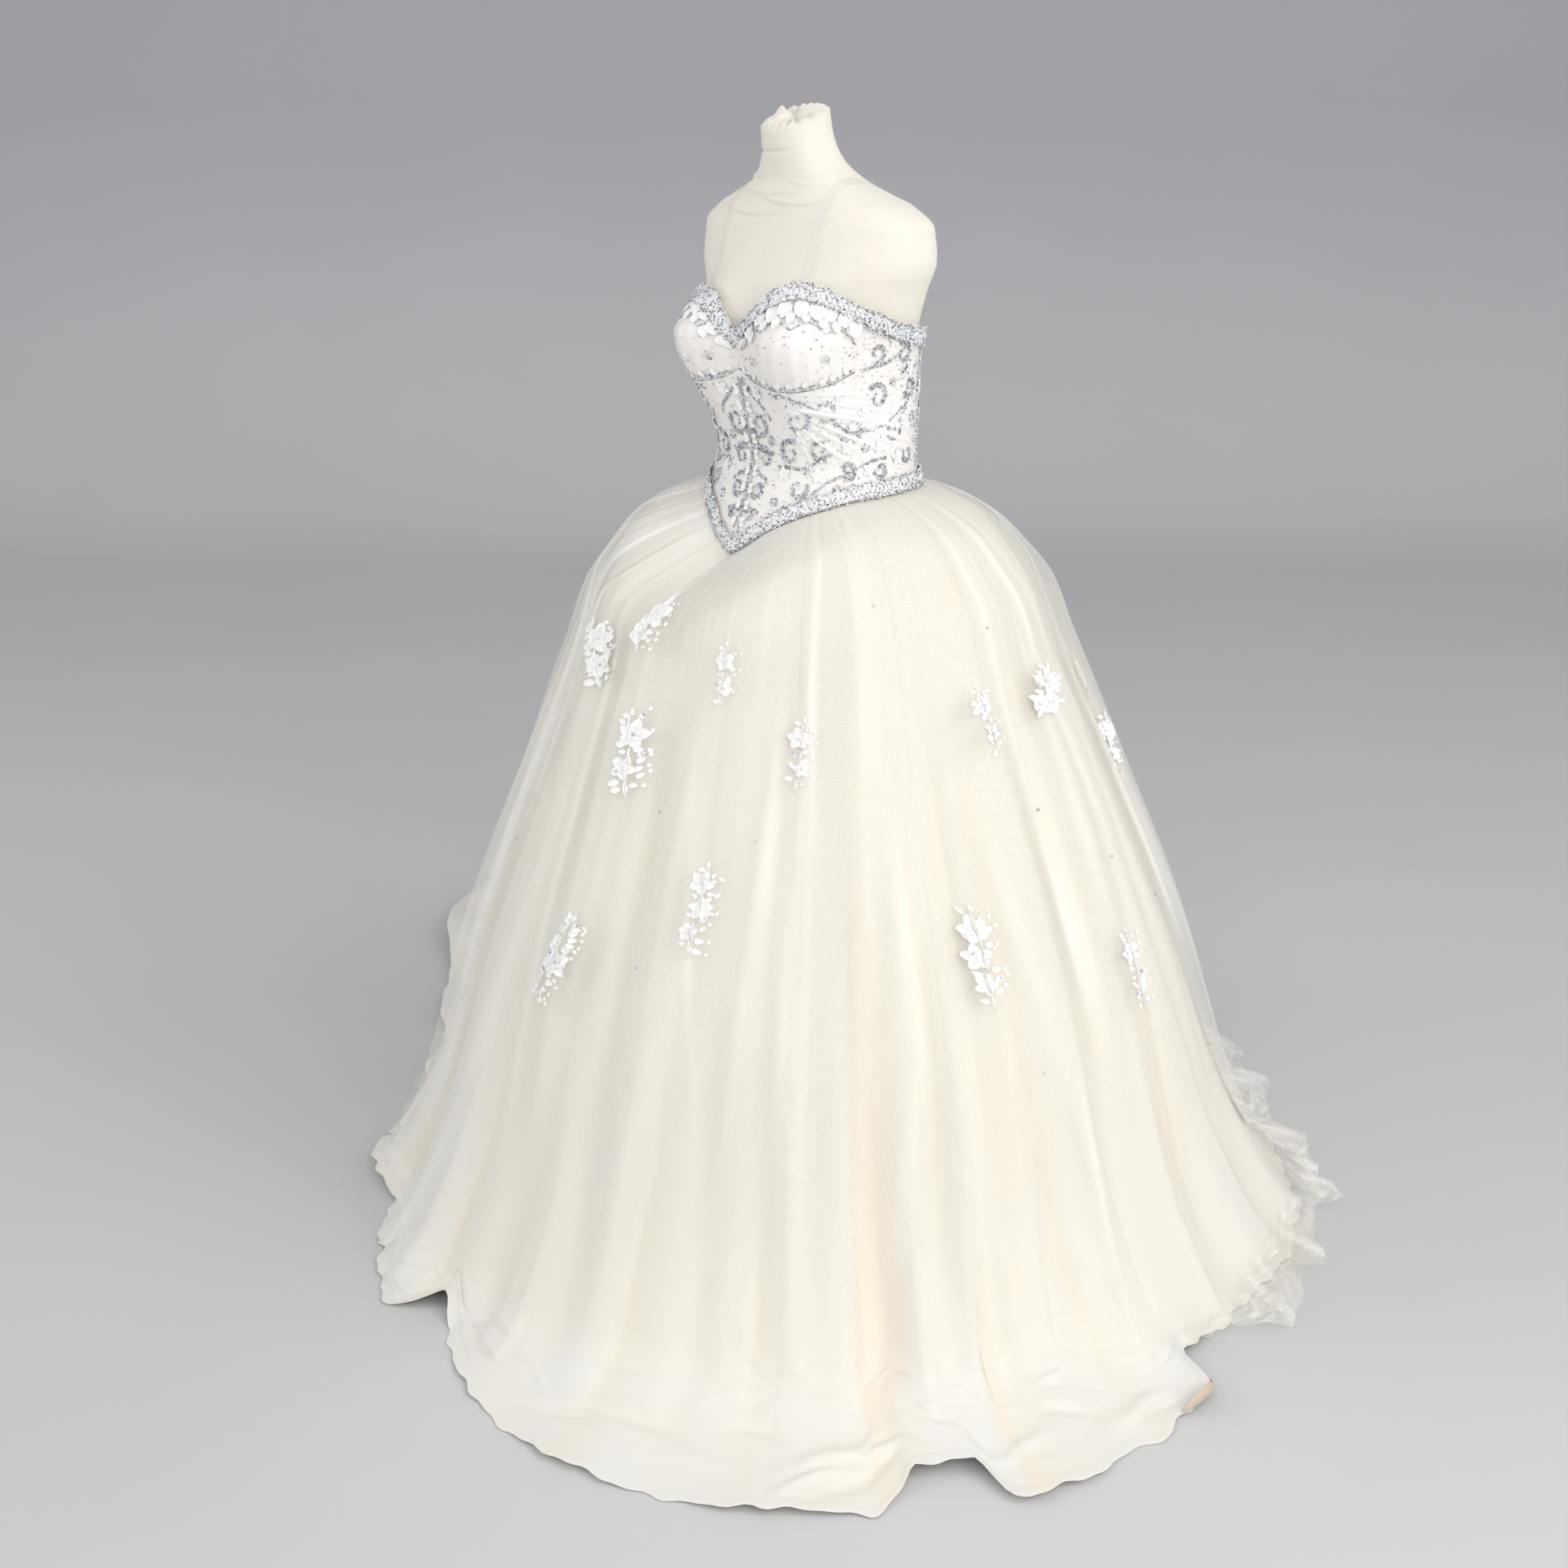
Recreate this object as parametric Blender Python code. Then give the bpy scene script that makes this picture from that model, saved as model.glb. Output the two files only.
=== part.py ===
"""Strapless satin ball gown with a sheer tulle overlay, standing on a limbless dress form.

Metres, +Z up. The origin is on the floor under the form's axis. The front of the gown
faces -Y and the wearer's left is +X. A turn is an angle round that axis in degrees,
from the front towards the wearer's left, so the wearer's right has negative turns.
"""
import math

import bpy
from mathutils import Vector

# ---- the form and its stand
NECK_TOP = 1.585          # middle of the cut through the neck
NECK_TILT = 0.35          # rise of that cut for each metre from front to back
NECK_STRAIGHT = 1.54      # below this height the neck's sections are level
FORM_BOTTOM = 0.80
BODY_SQUARENESS = 2.25    # 2 would be an ellipse
BUST_TURN = 29.0
BUST_HEIGHT = 1.300
BUST_RISE = 0.052         # how far each breast of the form stands out of the ribs
BUST_SPREAD = 22.0        # degrees to each side
BUST_ABOVE = 0.052        # how fast it dies away upwards
BUST_BELOW = 0.085        # and downwards
POLE_RADIUS = 0.016
BASE_RADIUS = 0.165
BASE_EDGE = 0.012
BASE_CROWN = 0.030

# ---- cloth
SEAM_GAP = 0.0003         # between two pieces at a seam
WAIST_GAP = 0.0012        # bodice edge to the skirt, whose facets are of other widths
BODICE_CLEAR = 0.0045     # form to the inside of the bodice
BODICE_THICK = 0.0020
CUP_PADDING = 0.006       # how far a cup stands out past the form's bust
RIGHT_CUP_DROP = 0.017    # the gown sits a little askew, lower over the right cup
TRIM_CLEAR = 0.0027
TRIM_THICK = 0.0030
TRIM_WIDTH = 0.019
TRIM_RAISE = 0.0025       # lower edge of the waist trim above the waist seam
TRIM_LIP = 0.002          # how far the neckline trim stands past the cloth's edge
SATIN_THICK = 0.0020
TULLE_THICK = 0.0012
APPLIQUE_CLEAR = 0.0028
APPLIQUE_THICK = 0.0010
STRAP_PLACE = 0.089       # middle of each clear strap from the centre front
STRAP_WIDTH = 0.011
STRAP_THICK = 0.0010
STRAP_CLEAR = 0.0028
STRAP_TUCK = 0.004        # how far each end runs down behind the neckline
STRAP_PIVOT = 1.400       # height of the line the straps turn about, inside the form
STRAP_FRONT_TURN = 36.0
STRAP_BACK_TURN = 141.0

# ---- the skirt
WAIST_HEIGHT = 1.092      # the waist seam at the sides
BELL_FOOT = 0.712         # where the bell would reach the floor, seen from above
BELL_DRIFT = 0.032        # how far its middle sits towards BELL_DRIFT_TURN
BELL_DRIFT_TURN = 90.0
POINT_EASE = 1.25         # how softly the skirt springs from the point of the waist
WAIST_SPRING = 0.012      # height in which it springs free at the sides and back
ON_BELL = 0.76            # share of each panel's length that follows the bell
HEM_BEND = 0.065          # height above the hem where the cloth bends out
HEM_FLARE = 0.007         # how far a hanging hem stands past the bell
HEM_TURN = 0.012          # least reach of the cloth past the foot of its bend
GATHER_DEPTH = 0.38       # the overlay's pleats, as a part of its room over the satin
GATHER_TOP = 0.25         # part of the skirt's height in which they grow to full depth
RIPPLES = 19              # waves round the cloth that lies on the floor
RIPPLE_TWIST = 7.0        # how far they slant along the train
RIPPLE_HEIGHT = 0.024
RIPPLE_START = 0.70       # reach at which they begin
RIPPLE_RUN = 0.35         # and the reach in which they grow to full height


class Table:
    """Rows of named columns, read smoothly at any place along the first column."""

    def __init__(self, columns, *rows, period=0.0):
        self.names = columns.split()
        self.rows = [dict(zip(self.names, row)) for row in sorted(rows)]
        if period:
            before = dict(self.rows[-1])
            before[self.names[0]] -= period
            after = dict(self.rows[0])
            after[self.names[0]] += period
            self.rows = [before] + self.rows + [after]
        self.start = self.rows[0][self.names[0]]
        self.period = period

    def at(self, place, column):
        """Value of a column at a place, eased so that it never overshoots a row."""
        key = self.names[0]
        if self.period:
            place = self.start + (place - self.start) % self.period
        last = len(self.rows) - 1
        place = min(max(place, self.rows[0][key]), self.rows[last][key])
        low = 0
        while low < last - 1 and self.rows[low + 1][key] < place:
            low += 1
        span = self.rows[low + 1][key] - self.rows[low][key]
        part = (place - self.rows[low][key]) / span
        first = self.rows[low][column]
        second = self.rows[low + 1][column]
        leave = self.slope(low, column) * span
        arrive = self.slope(low + 1, column) * span
        rise = second - first
        return (first + leave * part + (3 * rise - 2 * leave - arrive) * part ** 2
                + (leave + arrive - 2 * rise) * part ** 3)

    def slope(self, index, column):
        """Slope at a row: nought at a peak, and gentle beside a steep step."""
        key = self.names[0]

        def step(i):
            run = self.rows[i + 1][key] - self.rows[i][key]
            return (self.rows[i + 1][column] - self.rows[i][column]) / run

        last = len(self.rows) - 1
        if self.period and index in (0, last):
            index = 1 if index == last else last - 1
        if index == 0:
            return step(0)
        if index == last:
            return step(last - 1)
        before, after = step(index - 1), step(index)
        if before * after <= 0:
            return 0.0
        return 2 * before * after / (before + after)


# Sections of the form's body. Depths run from the section's own middle, which lies
# "lean" in front of the axis.
BODY = Table(
    "height half_width front back lean",
    (0.800, 0.172, 0.135, 0.148, 0.000),
    (0.900, 0.178, 0.150, 0.152, 0.000),
    (1.010, 0.162, 0.163, 0.134, 0.000),
    (1.090, 0.146, 0.136, 0.118, 0.000),
    (1.135, 0.138, 0.121, 0.112, 0.000),
    (1.220, 0.142, 0.131, 0.112, 0.000),
    (1.300, 0.150, 0.133, 0.107, 0.000),
    (1.360, 0.168, 0.128, 0.109, 0.000),
    (1.405, 0.189, 0.112, 0.110, 0.002),
    (1.445, 0.188, 0.096, 0.106, 0.006),
    (1.470, 0.160, 0.080, 0.098, 0.012),
    (1.485, 0.126, 0.068, 0.088, 0.018),
    (1.505, 0.084, 0.053, 0.070, 0.026),
    (1.530, 0.058, 0.048, 0.056, 0.036),
    (1.560, 0.047, 0.045, 0.048, 0.045),
    (1.600, 0.044, 0.044, 0.044, 0.050),
)

# Height of the sweetheart edge, the seam under the cups and the pointed waist seam,
# the same on both sides of the centre front.
NECKLINE = Table(
    "turn height",
    (0, 1.312), (9, 1.337), (21, 1.367), (35, 1.379), (48, 1.370),
    (63, 1.347), (85, 1.322), (108, 1.309), (180, 1.292),
)
UNDER_BUST = Table(
    "turn height",
    (0, 1.262), (12, 1.246), (30, 1.238), (48, 1.246), (62, 1.262),
)
WAISTLINE = Table(
    "turn height",
    (0, 1.008), (10, 1.026), (22, 1.050), (42, 1.073), (66, 1.088), (105, 1.092), (180, 1.090),
)

# The bell of the skirt: how much of the way from the waist seam to the foot it has
# come at each height, and how far the satin hangs inside the overlay.
BELL = Table(
    "height share inside",
    (1.092, 0.000, 0.0036),
    (1.072, 0.105, 0.0120),
    (1.043, 0.196, 0.0200),
    (1.010, 0.250, 0.0260),
    (0.957, 0.318, 0.0300),
    (0.875, 0.370, 0.0300),
    (0.710, 0.490, 0.0270),
    (0.450, 0.676, 0.0240),
    (0.200, 0.815, 0.0200),
    (0.060, 0.930, 0.0140),
    (0.000, 1.000, 0.0100),
)

# Hem of the satin, laid out on the floor: smooth and round over the front left,
# scalloped down the right side, and drawn out into the train behind the right hip.
SATIN_HEM = Table(
    "turn reach height",
    (-176, 0.935, 0.0024),
    (-163, 1.070, 0.0024),
    (-149, 1.240, 0.0024),
    (-135, 1.370, 0.0024),
    (-122, 1.400, 0.0024),
    (-110, 1.370, 0.0024),
    (-102, 1.290, 0.0024),
    (-97, 1.170, 0.0200),
    (-91, 0.990, 0.0024),
    (-83, 0.860, 0.0180),
    (-77, 0.770, 0.0024),
    (-69, 0.730, 0.0160),
    (-56, 0.655, 0.0024),
    (-44, 0.700, 0.0240),
    (-28, 0.650, 0.0024),
    (-19, 0.712, 0.0060),
    (-10, 0.728, 0.0024),
    (-6, 0.672, 0.0300),
    (-1, 0.712, 0.0024),
    (18, 0.815, 0.0024),
    (34, 0.887, 0.0024),
    (49, 0.893, 0.0024),
    (54, 0.862, 0.0180),
    (60, 0.892, 0.0024),
    (72, 0.845, 0.0024),
    (82, 0.806, 0.0040),
    (88, 0.715, 0.0120),
    (103, 0.735, 0.0024),
    (135, 0.740, 0.0024),
    (151, 0.750, 0.0024),
    (168, 0.825, 0.0024),
    period=360.0,
)

# Hem of the overlay: it ends above the satin hem in front, spreads on the floor at
# the left side, and lies on the train behind.
TULLE_HEM = Table(
    "turn reach height",
    (-165, 1.000, 0.024),
    (-149, 1.130, 0.024),
    (-135, 1.230, 0.024),
    (-120, 1.250, 0.024),
    (-106, 1.170, 0.026),
    (-97, 1.060, 0.040),
    (-88, 0.880, 0.036),
    (-77, 0.740, 0.036),
    (-62, 0.690, 0.044),
    (-45, 0.665, 0.050),
    (-25, 0.650, 0.052),
    (-8, 0.655, 0.048),
    (15, 0.680, 0.044),
    (40, 0.690, 0.051),
    (64, 0.690, 0.070),
    (78, 0.715, 0.036),
    (88, 0.760, 0.0130),
    (96, 0.785, 0.0026),
    (117, 0.795, 0.0026),
    (139, 0.775, 0.0026),
    (153, 0.780, 0.0110),
    (172, 0.850, 0.024),
    period=360.0,
)

# The long folds of the skirt. A fold stands at its turn at the hem and leans by
# "lean" degrees where it dies out at "top"; a ridge has a depth above nought.
FOLDS = Table(
    "turn lean width depth top",
    (-168, 6, 6.0, 0.026, 0.80),
    (-151, -5, 5.0, -0.024, 0.62),
    (-128, 4, 6.0, 0.030, 0.85),
    (-108, -4, 4.5, -0.026, 0.70),
    (-92, 3, 4.0, 0.022, 0.55),
    (-74, -2, 4.5, -0.020, 0.75),
    (-52, 3, 4.0, 0.018, 0.50),
    (-33, -3, 4.5, -0.022, 0.80),
    (-14, 3, 4.0, 0.016, 0.45),
    (2, 0, 3.5, -0.018, 0.60),
    (47, 1, 3.5, 0.014, 0.75),
    (52, 0, 2.8, -0.026, 0.78),
    (61, 9, 4.4, 0.026, 0.62),
    (70, 4, 3.2, -0.022, 0.50),
    (84, -3, 4.5, 0.018, 0.75),
    (101, 4, 4.5, -0.024, 0.66),
    (122, -4, 5.0, 0.024, 0.80),
    (143, 5, 5.0, -0.022, 0.58),
    (160, -3, 4.0, 0.018, 0.70),
)

# The lace flowers and leaves sewn to the overlay: where each middle sits, its width
# and length, how it leans, and how many lobes its edge has.
APPLIQUES = Table(
    "number turn height wide long lean lobes",
    (1, 4, 0.945, 0.054, 0.072, 8, 6),
    (2, -12, 0.888, 0.066, 0.100, -22, 7),
    (3, 25, 0.900, 0.042, 0.090, 0, 6),
    (4, 7, 0.786, 0.062, 0.120, -8, 7),
    (5, 41, 0.805, 0.044, 0.100, 6, 6),
    (6, 78, 0.834, 0.050, 0.100, -10, 7),
    (7, 97, 0.845, 0.062, 0.076, 30, 6),
    (8, 124, 0.720, 0.050, 0.100, 20, 7),
    (9, 26, 0.616, 0.054, 0.128, 6, 7),
    (10, 2, 0.512, 0.060, 0.150, 20, 8),
    (11, 69, 0.551, 0.060, 0.140, -4, 7),
    (12, 98, 0.472, 0.046, 0.125, 0, 6),
    (13, 150, 0.760, 0.058, 0.100, -15, 7),
    (14, 172, 0.460, 0.056, 0.130, 12, 7),
    (15, -68, 0.740, 0.056, 0.105, 18, 6),
    (16, -98, 0.450, 0.056, 0.140, -15, 8),
    (17, -140, 0.680, 0.058, 0.110, 12, 7),
)

# Panels of cloth: the turns between which each runs, and its columns of facets.
SATIN_GORES = {
    "satin_front": (-25, 40, 13),
    "satin_side_front_left": (40, 62.5, 6),
    "satin_side_left": (62.5, 85, 6),
    "satin_side_back_left": (85, 130, 8),
    "satin_back_left": (130, 180, 9),
    "satin_back_right": (-180, -130, 11),
    "satin_side_back_right": (-130, -85, 12),
    "satin_side_right": (-85, -54, 6),
    "satin_side_front_right": (-54, -44, 2),
    "satin_front_right": (-44, -25, 4),
}
SATIN_ROWS = (0.0, 0.03, 0.08, 0.15, 0.29, 0.50, 0.66, 0.76, 0.84, 0.92, 1.0)
TULLE_WIDTHS = 6
TULLE_FIRST_SEAM = 12
TULLE_COLUMNS = 10
TULLE_ROWS = (0.0, 0.016, 0.038, 0.066, 0.105, 0.165, 0.28, 0.43, 0.60, 0.76, 0.88, 1.0)
TULLE_PLEATS = 15
APPLIQUE_EDGE = 16        # points round each applique
APPLIQUE_LOBE = 0.20      # depth of its lobes, as a part of its half width
APPLIQUE_SLOPE = 0.93     # height lost for each metre down the cloth


# ---------------------------------------------------------------- building blocks

def clear_scene():
    for thing in list(bpy.data.objects):
        bpy.data.objects.remove(thing, do_unlink=True)


def finish(name, colour, roughness, metallic=0.0, alpha=1.0):
    """A Principled material."""
    material = bpy.data.materials.new(name)
    material.use_nodes = True
    shader = material.node_tree.nodes["Principled BSDF"]
    shader.inputs["Base Color"].default_value = (*colour, 1.0)
    shader.inputs["Roughness"].default_value = roughness
    shader.inputs["Metallic"].default_value = metallic
    shader.inputs["Alpha"].default_value = alpha
    material.diffuse_color = (*colour, alpha)
    return material


def add_object(name, points, faces, material):
    mesh = bpy.data.meshes.new(name)
    mesh.from_pydata([tuple(p) for p in points], [], faces)
    mesh.materials.append(material)
    mesh.validate()
    mesh.shade_smooth()
    mesh.set_sharp_from_angle(angle=math.radians(50))
    piece = bpy.data.objects.new(name, mesh)
    bpy.context.collection.objects.link(piece)
    return piece


def direction(turn):
    """Unit vector from the axis towards a turn."""
    angle = math.radians(turn)
    return Vector((math.sin(angle), -math.cos(angle), 0.0))


def outward(surface, turn, share):
    """Unit normal of a surface(turn, share) that runs down with the share."""
    step_turn, step_share = 0.25, 0.004
    low, high = max(share - step_share, 0.0), min(share + step_share, 1.0)
    across = surface(turn + step_turn, share) - surface(turn - step_turn, share)
    along = surface(turn, high) - surface(turn, low)
    return along.cross(across).normalized()


def wall(name, surface, turns, shares, thick, material, ring=False, gap=SEAM_GAP):
    """One closed wall: the surface's grid, and the same grid moved in by the thickness.

    The two edge columns of a panel stop half a seam gap short of their turns.
    """
    outer, inner = [], []
    last = len(turns) - 1
    for column, turn in enumerate(turns):
        for share in shares:
            place = turn
            if not ring and column in (0, last):
                radius = surface(turn, share).to_2d().length
                short = math.degrees(gap / 2 / radius)
                place = turn + short if column == 0 else turn - short
            point = surface(place, share)
            outer.append(point)
            inner.append(point - outward(surface, place, share) * thick)
    down, count = len(shares), len(turns)
    shift = len(outer)
    faces = []

    def quad(a, b, c, d):
        faces.extend(((a, b, c), (a, c, d)))

    for column in range(count if ring else count - 1):
        left, right = column * down, (column + 1) % count * down
        for row in range(down - 1):
            quad(left + row, left + row + 1, right + row + 1, right + row)
            # both faces of the wall are split along the same diagonal, so they never cross
            quad(shift + left + row, shift + right + row,
                 shift + right + row + 1, shift + left + row + 1)
        bottom = down - 1
        quad(left, right, shift + right, shift + left)
        quad(left + bottom, shift + left + bottom, shift + right + bottom, right + bottom)
    if not ring:
        far = last * down
        for row in range(down - 1):
            quad(row, shift + row, shift + row + 1, row + 1)
            quad(far + row, far + row + 1, shift + far + row + 1, shift + far + row)
    return add_object(name, outer + inner, faces, material)


def steps(start, end, count):
    return [start + (end - start) * i / count for i in range(count + 1)]


# ---------------------------------------------------------------- the body's shape

def bust(turn, height, rise):
    """How far the two breasts stand out of the ribs at a place."""
    spread = BUST_ABOVE if height > BUST_HEIGHT else BUST_BELOW
    tall = math.exp(-((height - BUST_HEIGHT) / spread) ** 2)
    around = sum(math.exp(-((turn - side * BUST_TURN) / BUST_SPREAD) ** 2) for side in (-1, 1))
    return rise * tall * around


def body_radius(turn, height, padding=0.0):
    """Reach of the form from the middle of its section, with padding over the bust."""
    turn = (turn + 180.0) % 360.0 - 180.0
    angle = math.radians(turn)
    width = BODY.at(height, "half_width")
    depth = BODY.at(height, "front" if abs(turn) < 90 else "back")
    radius = (abs(math.sin(angle) / width) ** BODY_SQUARENESS
              + abs(math.cos(angle) / depth) ** BODY_SQUARENESS) ** (-1 / BODY_SQUARENESS)
    return radius + bust(turn, height, BUST_RISE + padding)


def body_point(turn, height, out=0.0, padding=0.0):
    """Point of the form's surface, moved out."""
    point = direction(turn) * (body_radius(turn, height, padding) + out)
    return Vector((point.x, point.y - BODY.at(height, "lean"), height))


def leaves_body(start, way, out):
    """Where a straight line from inside the form comes out of it, and a little further."""
    inside, outside = 0.0, 0.30
    while outside - inside > 0.00001:
        middle = (inside + outside) / 2
        point = start + way * middle
        depth = point.y + BODY.at(point.z, "lean")
        turn = math.degrees(math.atan2(point.x, -depth))
        if math.hypot(point.x, depth) < body_radius(turn, point.z):
            inside = middle
        else:
            outside = middle
    return start + way * (inside + out)


def make_form(jersey):
    """The limbless torso: neck, shoulders cut off square, bust, waist and hips."""
    sides = 32
    heights = (0.80, 0.86, 0.93, 1.01, 1.09, 1.135, 1.18, 1.225, 1.262, 1.30, 1.335, 1.365,
               1.395, 1.42, 1.443, 1.458, 1.47, 1.483, 1.50, 1.525, 1.555, NECK_TOP)
    points, faces = [], []
    for height in heights:
        for side in range(sides):
            point = body_point(360.0 * side / sides, height)
            if height > NECK_STRAIGHT:
                rise = (height - NECK_STRAIGHT) / (NECK_TOP - NECK_STRAIGHT)
                point.z += NECK_TILT * rise * (point.y + BODY.at(height, "lean"))
            points.append(point)
    for ring in range(len(heights) - 1):
        for side in range(sides):
            a, b = ring * sides + side, ring * sides + (side + 1) % sides
            faces.append((a, b, b + sides, a + sides))
    top = (len(heights) - 1) * sides
    faces.append(tuple(range(sides - 1, -1, -1)))
    faces.append(tuple(range(top, top + sides)))
    return add_object("form_torso", points, faces, jersey)


def turned(name, profile, sides, material):
    """A solid turned round the axis from (radius, height) pairs, listed from below."""
    points, faces = [], []
    for radius, height in profile:
        for side in range(sides):
            points.append(direction(360.0 * side / sides) * radius + Vector((0, 0, height)))
    for ring in range(len(profile) - 1):
        for side in range(sides):
            a, b = ring * sides + side, ring * sides + (side + 1) % sides
            faces.append((a, b, b + sides, a + sides))
    top = (len(profile) - 1) * sides
    faces.append(tuple(range(sides - 1, -1, -1)))
    faces.append(tuple(range(top, top + sides)))
    return add_object(name, points, faces, material)


def make_stand(steel):
    """A plain pole on a flat round foot."""
    turned("stand_base", ((BASE_RADIUS, 0.0), (BASE_RADIUS, BASE_EDGE),
                          (BASE_RADIUS * 0.5, BASE_CROWN * 0.8),
                          (POLE_RADIUS * 1.6, BASE_CROWN)), 32, steel)
    turned("stand_pole", ((POLE_RADIUS, BASE_CROWN + SEAM_GAP),
                          (POLE_RADIUS, FORM_BOTTOM - SEAM_GAP)), 16, steel)


# ---------------------------------------------------------------- the bodice

def neckline(turn):
    turn = (turn + 180.0) % 360.0 - 180.0
    drop = RIGHT_CUP_DROP * math.exp(-((turn + 45.0) / 28.0) ** 2)
    return NECKLINE.at(abs(turn), "height") - drop


def under_bust(turn):
    return UNDER_BUST.at(abs(turn), "height")


def waistline(turn):
    return WAISTLINE.at(abs((turn + 180.0) % 360.0 - 180.0), "height")


def bodice_surface(top, bottom, out=0.0):
    """Surface of the bodice between two edges, with the share running down."""
    lift = BODICE_CLEAR + BODICE_THICK + out

    def surface(turn, share):
        high, low = top(turn), bottom(turn)
        return body_point(turn, high + (low - high) * share, lift, CUP_PADDING)

    return surface


def lowered(edge, by):
    """The same edge moved straight down."""
    return lambda turn: edge(turn) - by


def make_bodice(satin, beads):
    cup = bodice_surface(neckline, under_bust)
    front = bodice_surface(lowered(under_bust, SEAM_GAP), waistline)
    full = bodice_surface(neckline, waistline)
    panels = {
        "cup_right": (cup, -62, 0, 10, 6),
        "cup_left": (cup, 0, 62, 10, 6),
        "bodice_front": (front, -62, 62, 20, 5),
        "bodice_side_left": (full, 62, 118, 6, 6),
        "bodice_side_right": (full, -118, -62, 6, 6),
        "bodice_back_left": (full, 118, 180, 7, 6),
        "bodice_back_right": (full, -180, -118, 7, 6),
    }
    for name, (surface, start, end, across, down) in panels.items():
        wall(name, surface, steps(start, end, across), steps(0, 1, down), BODICE_THICK, satin)
    # the trims are closer set over the front, where their edges turn sharply
    turns = steps(-64, 64, 32) + steps(64, 296, 20)[1:-1]
    out = TRIM_CLEAR + TRIM_THICK
    top_band = bodice_surface(lowered(neckline, -TRIM_LIP), lowered(neckline, TRIM_WIDTH), out)
    low_band = bodice_surface(lowered(waistline, -TRIM_WIDTH - TRIM_RAISE),
                              lowered(waistline, -TRIM_RAISE), out)
    wall("neckline_trim", top_band, turns, (0.0, 1.0), TRIM_THICK, beads, ring=True)
    wall("waist_trim", low_band, turns, (0.0, 1.0), TRIM_THICK, beads, ring=True)


def strap_surface(side):
    """A narrow tape from the back neckline (0) over the shoulder to the front one (1)."""
    behind, before = side * STRAP_BACK_TURN, side * STRAP_FRONT_TURN

    def surface(across, share):
        start = Vector((side * STRAP_PLACE + across * STRAP_WIDTH / 2, 0.0, STRAP_PIVOT))
        back = body_point(behind, neckline(behind) - STRAP_TUCK) - start
        front = body_point(before, neckline(before) - STRAP_TUCK) - start
        first = math.atan2(back.z, -back.y) + 2 * math.pi
        last = math.atan2(front.z, -front.y)
        angle = first + (last - first) * share
        way = Vector((0.0, -math.cos(angle), math.sin(angle)))
        return leaves_body(start, way, STRAP_CLEAR + STRAP_THICK)

    return surface


def make_straps(clear):
    for name, side in (("strap_left", 1), ("strap_right", -1)):
        wall(name, strap_surface(side), (-1, 1), steps(0, 1, 28), STRAP_THICK, clear, gap=0.0)


# ---------------------------------------------------------------- the skirt

def waist_radius(turn):
    """Distance of the bodice's lower edge from the axis."""
    edge = body_point(turn, waistline(turn), BODICE_CLEAR + BODICE_THICK, CUP_PADDING)
    return edge.to_2d().length


def springing(turn, height):
    """From 0 at the waist seam to 1 where the skirt stands free of it."""
    top = waistline(turn)
    spring = WAIST_SPRING + POINT_EASE * (WAIST_HEIGHT - top)
    eased = min(max((top - height) / spring, 0.0), 1.0)
    return 1 - (1 - eased) ** 2


def bell_radius(turn, height):
    """The smooth outer bell of the skirt, before its folds."""
    start = waist_radius(turn)
    foot = BELL_FOOT + BELL_DRIFT * math.cos(math.radians(turn - BELL_DRIFT_TURN))
    return start + BELL.at(height, "share") * (foot - start) * springing(turn, height)


def long_folds(turn, height):
    """How far the long folds stand out of the bell, or into it."""
    total = 0.0
    for fold in FOLDS.rows:
        drop = min(max(1 - height / fold["top"], 0.0), 1.0)
        middle = fold["turn"] + fold["lean"] * (1 - drop)
        away = (turn - middle + 180.0) % 360.0 - 180.0
        total += fold["depth"] * drop * math.exp(-(away / fold["width"]) ** 2)
    return total


def gathers(turn, count, phase):
    """An uneven run of pleats from -1 to 1, closed all the way round."""
    angle = math.radians(turn)
    uneven = 0.9 * math.sin(2 * angle + phase) + 0.5 * math.sin(5 * angle + 2 * phase)
    return math.sin(count * angle + uneven)


def floor_ripple(turn, reach):
    """Low waves in the cloth that lies on the floor, growing out along the train."""
    angle = math.radians(turn)
    slant = RIPPLE_TWIST * reach + 0.8 * math.sin(3 * angle)
    waves = 0.5 + 0.5 * math.sin(RIPPLES * angle + slant)
    return RIPPLE_HEIGHT * waves * min(max((reach - RIPPLE_START) / RIPPLE_RUN, 0.0), 1.0)


def skirt_surface(hem, overlay):
    """The overlay, or the satin inside it, from the waist seam (0) to its hem (1).

    Down to ON_BELL the cloth follows the bell; from there it bends out to its hem.
    """
    def bell_point(turn, height):
        radius = bell_radius(turn, height) + long_folds(turn, height)
        seam = BELL.at(WAIST_HEIGHT, "inside")
        inside = seam + (BELL.at(height, "inside") - seam) * springing(turn, height)
        grown = min((1 - height / WAIST_HEIGHT) / GATHER_TOP, 1.0)
        if overlay:
            pleats = GATHER_DEPTH * inside * grown * gathers(turn, TULLE_PLEATS, 0.4)
            radius += TULLE_THICK + pleats
        else:
            radius -= inside
        return radius, height

    def surface(turn, share):
        top = waistline(turn) - WAIST_GAP
        hem_height = hem.at(turn, "height")
        foot = bell_point(turn, hem_height)[0]
        hem_reach = max(hem.at(turn, "reach"), foot + HEM_FLARE)
        bend = hem_height + HEM_BEND
        if share <= ON_BELL:
            part = share / ON_BELL
            radius, height = bell_point(turn, top + (bend - top) * part)
        else:
            part = (share - ON_BELL) / (1 - ON_BELL)
            first, high = bell_point(turn, bend)
            touch = min(foot, hem_reach - HEM_TURN)
            radius = (1 - part) ** 2 * first + 2 * part * (1 - part) * touch + part ** 2 * hem_reach
            height = (1 - part) ** 2 * high + (1 - (1 - part) ** 2) * hem_height
            height += floor_ripple(turn, radius) * math.sin(math.pi * min(part, 0.72))
        return direction(turn) * radius + Vector((0, 0, height))

    return surface


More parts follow.
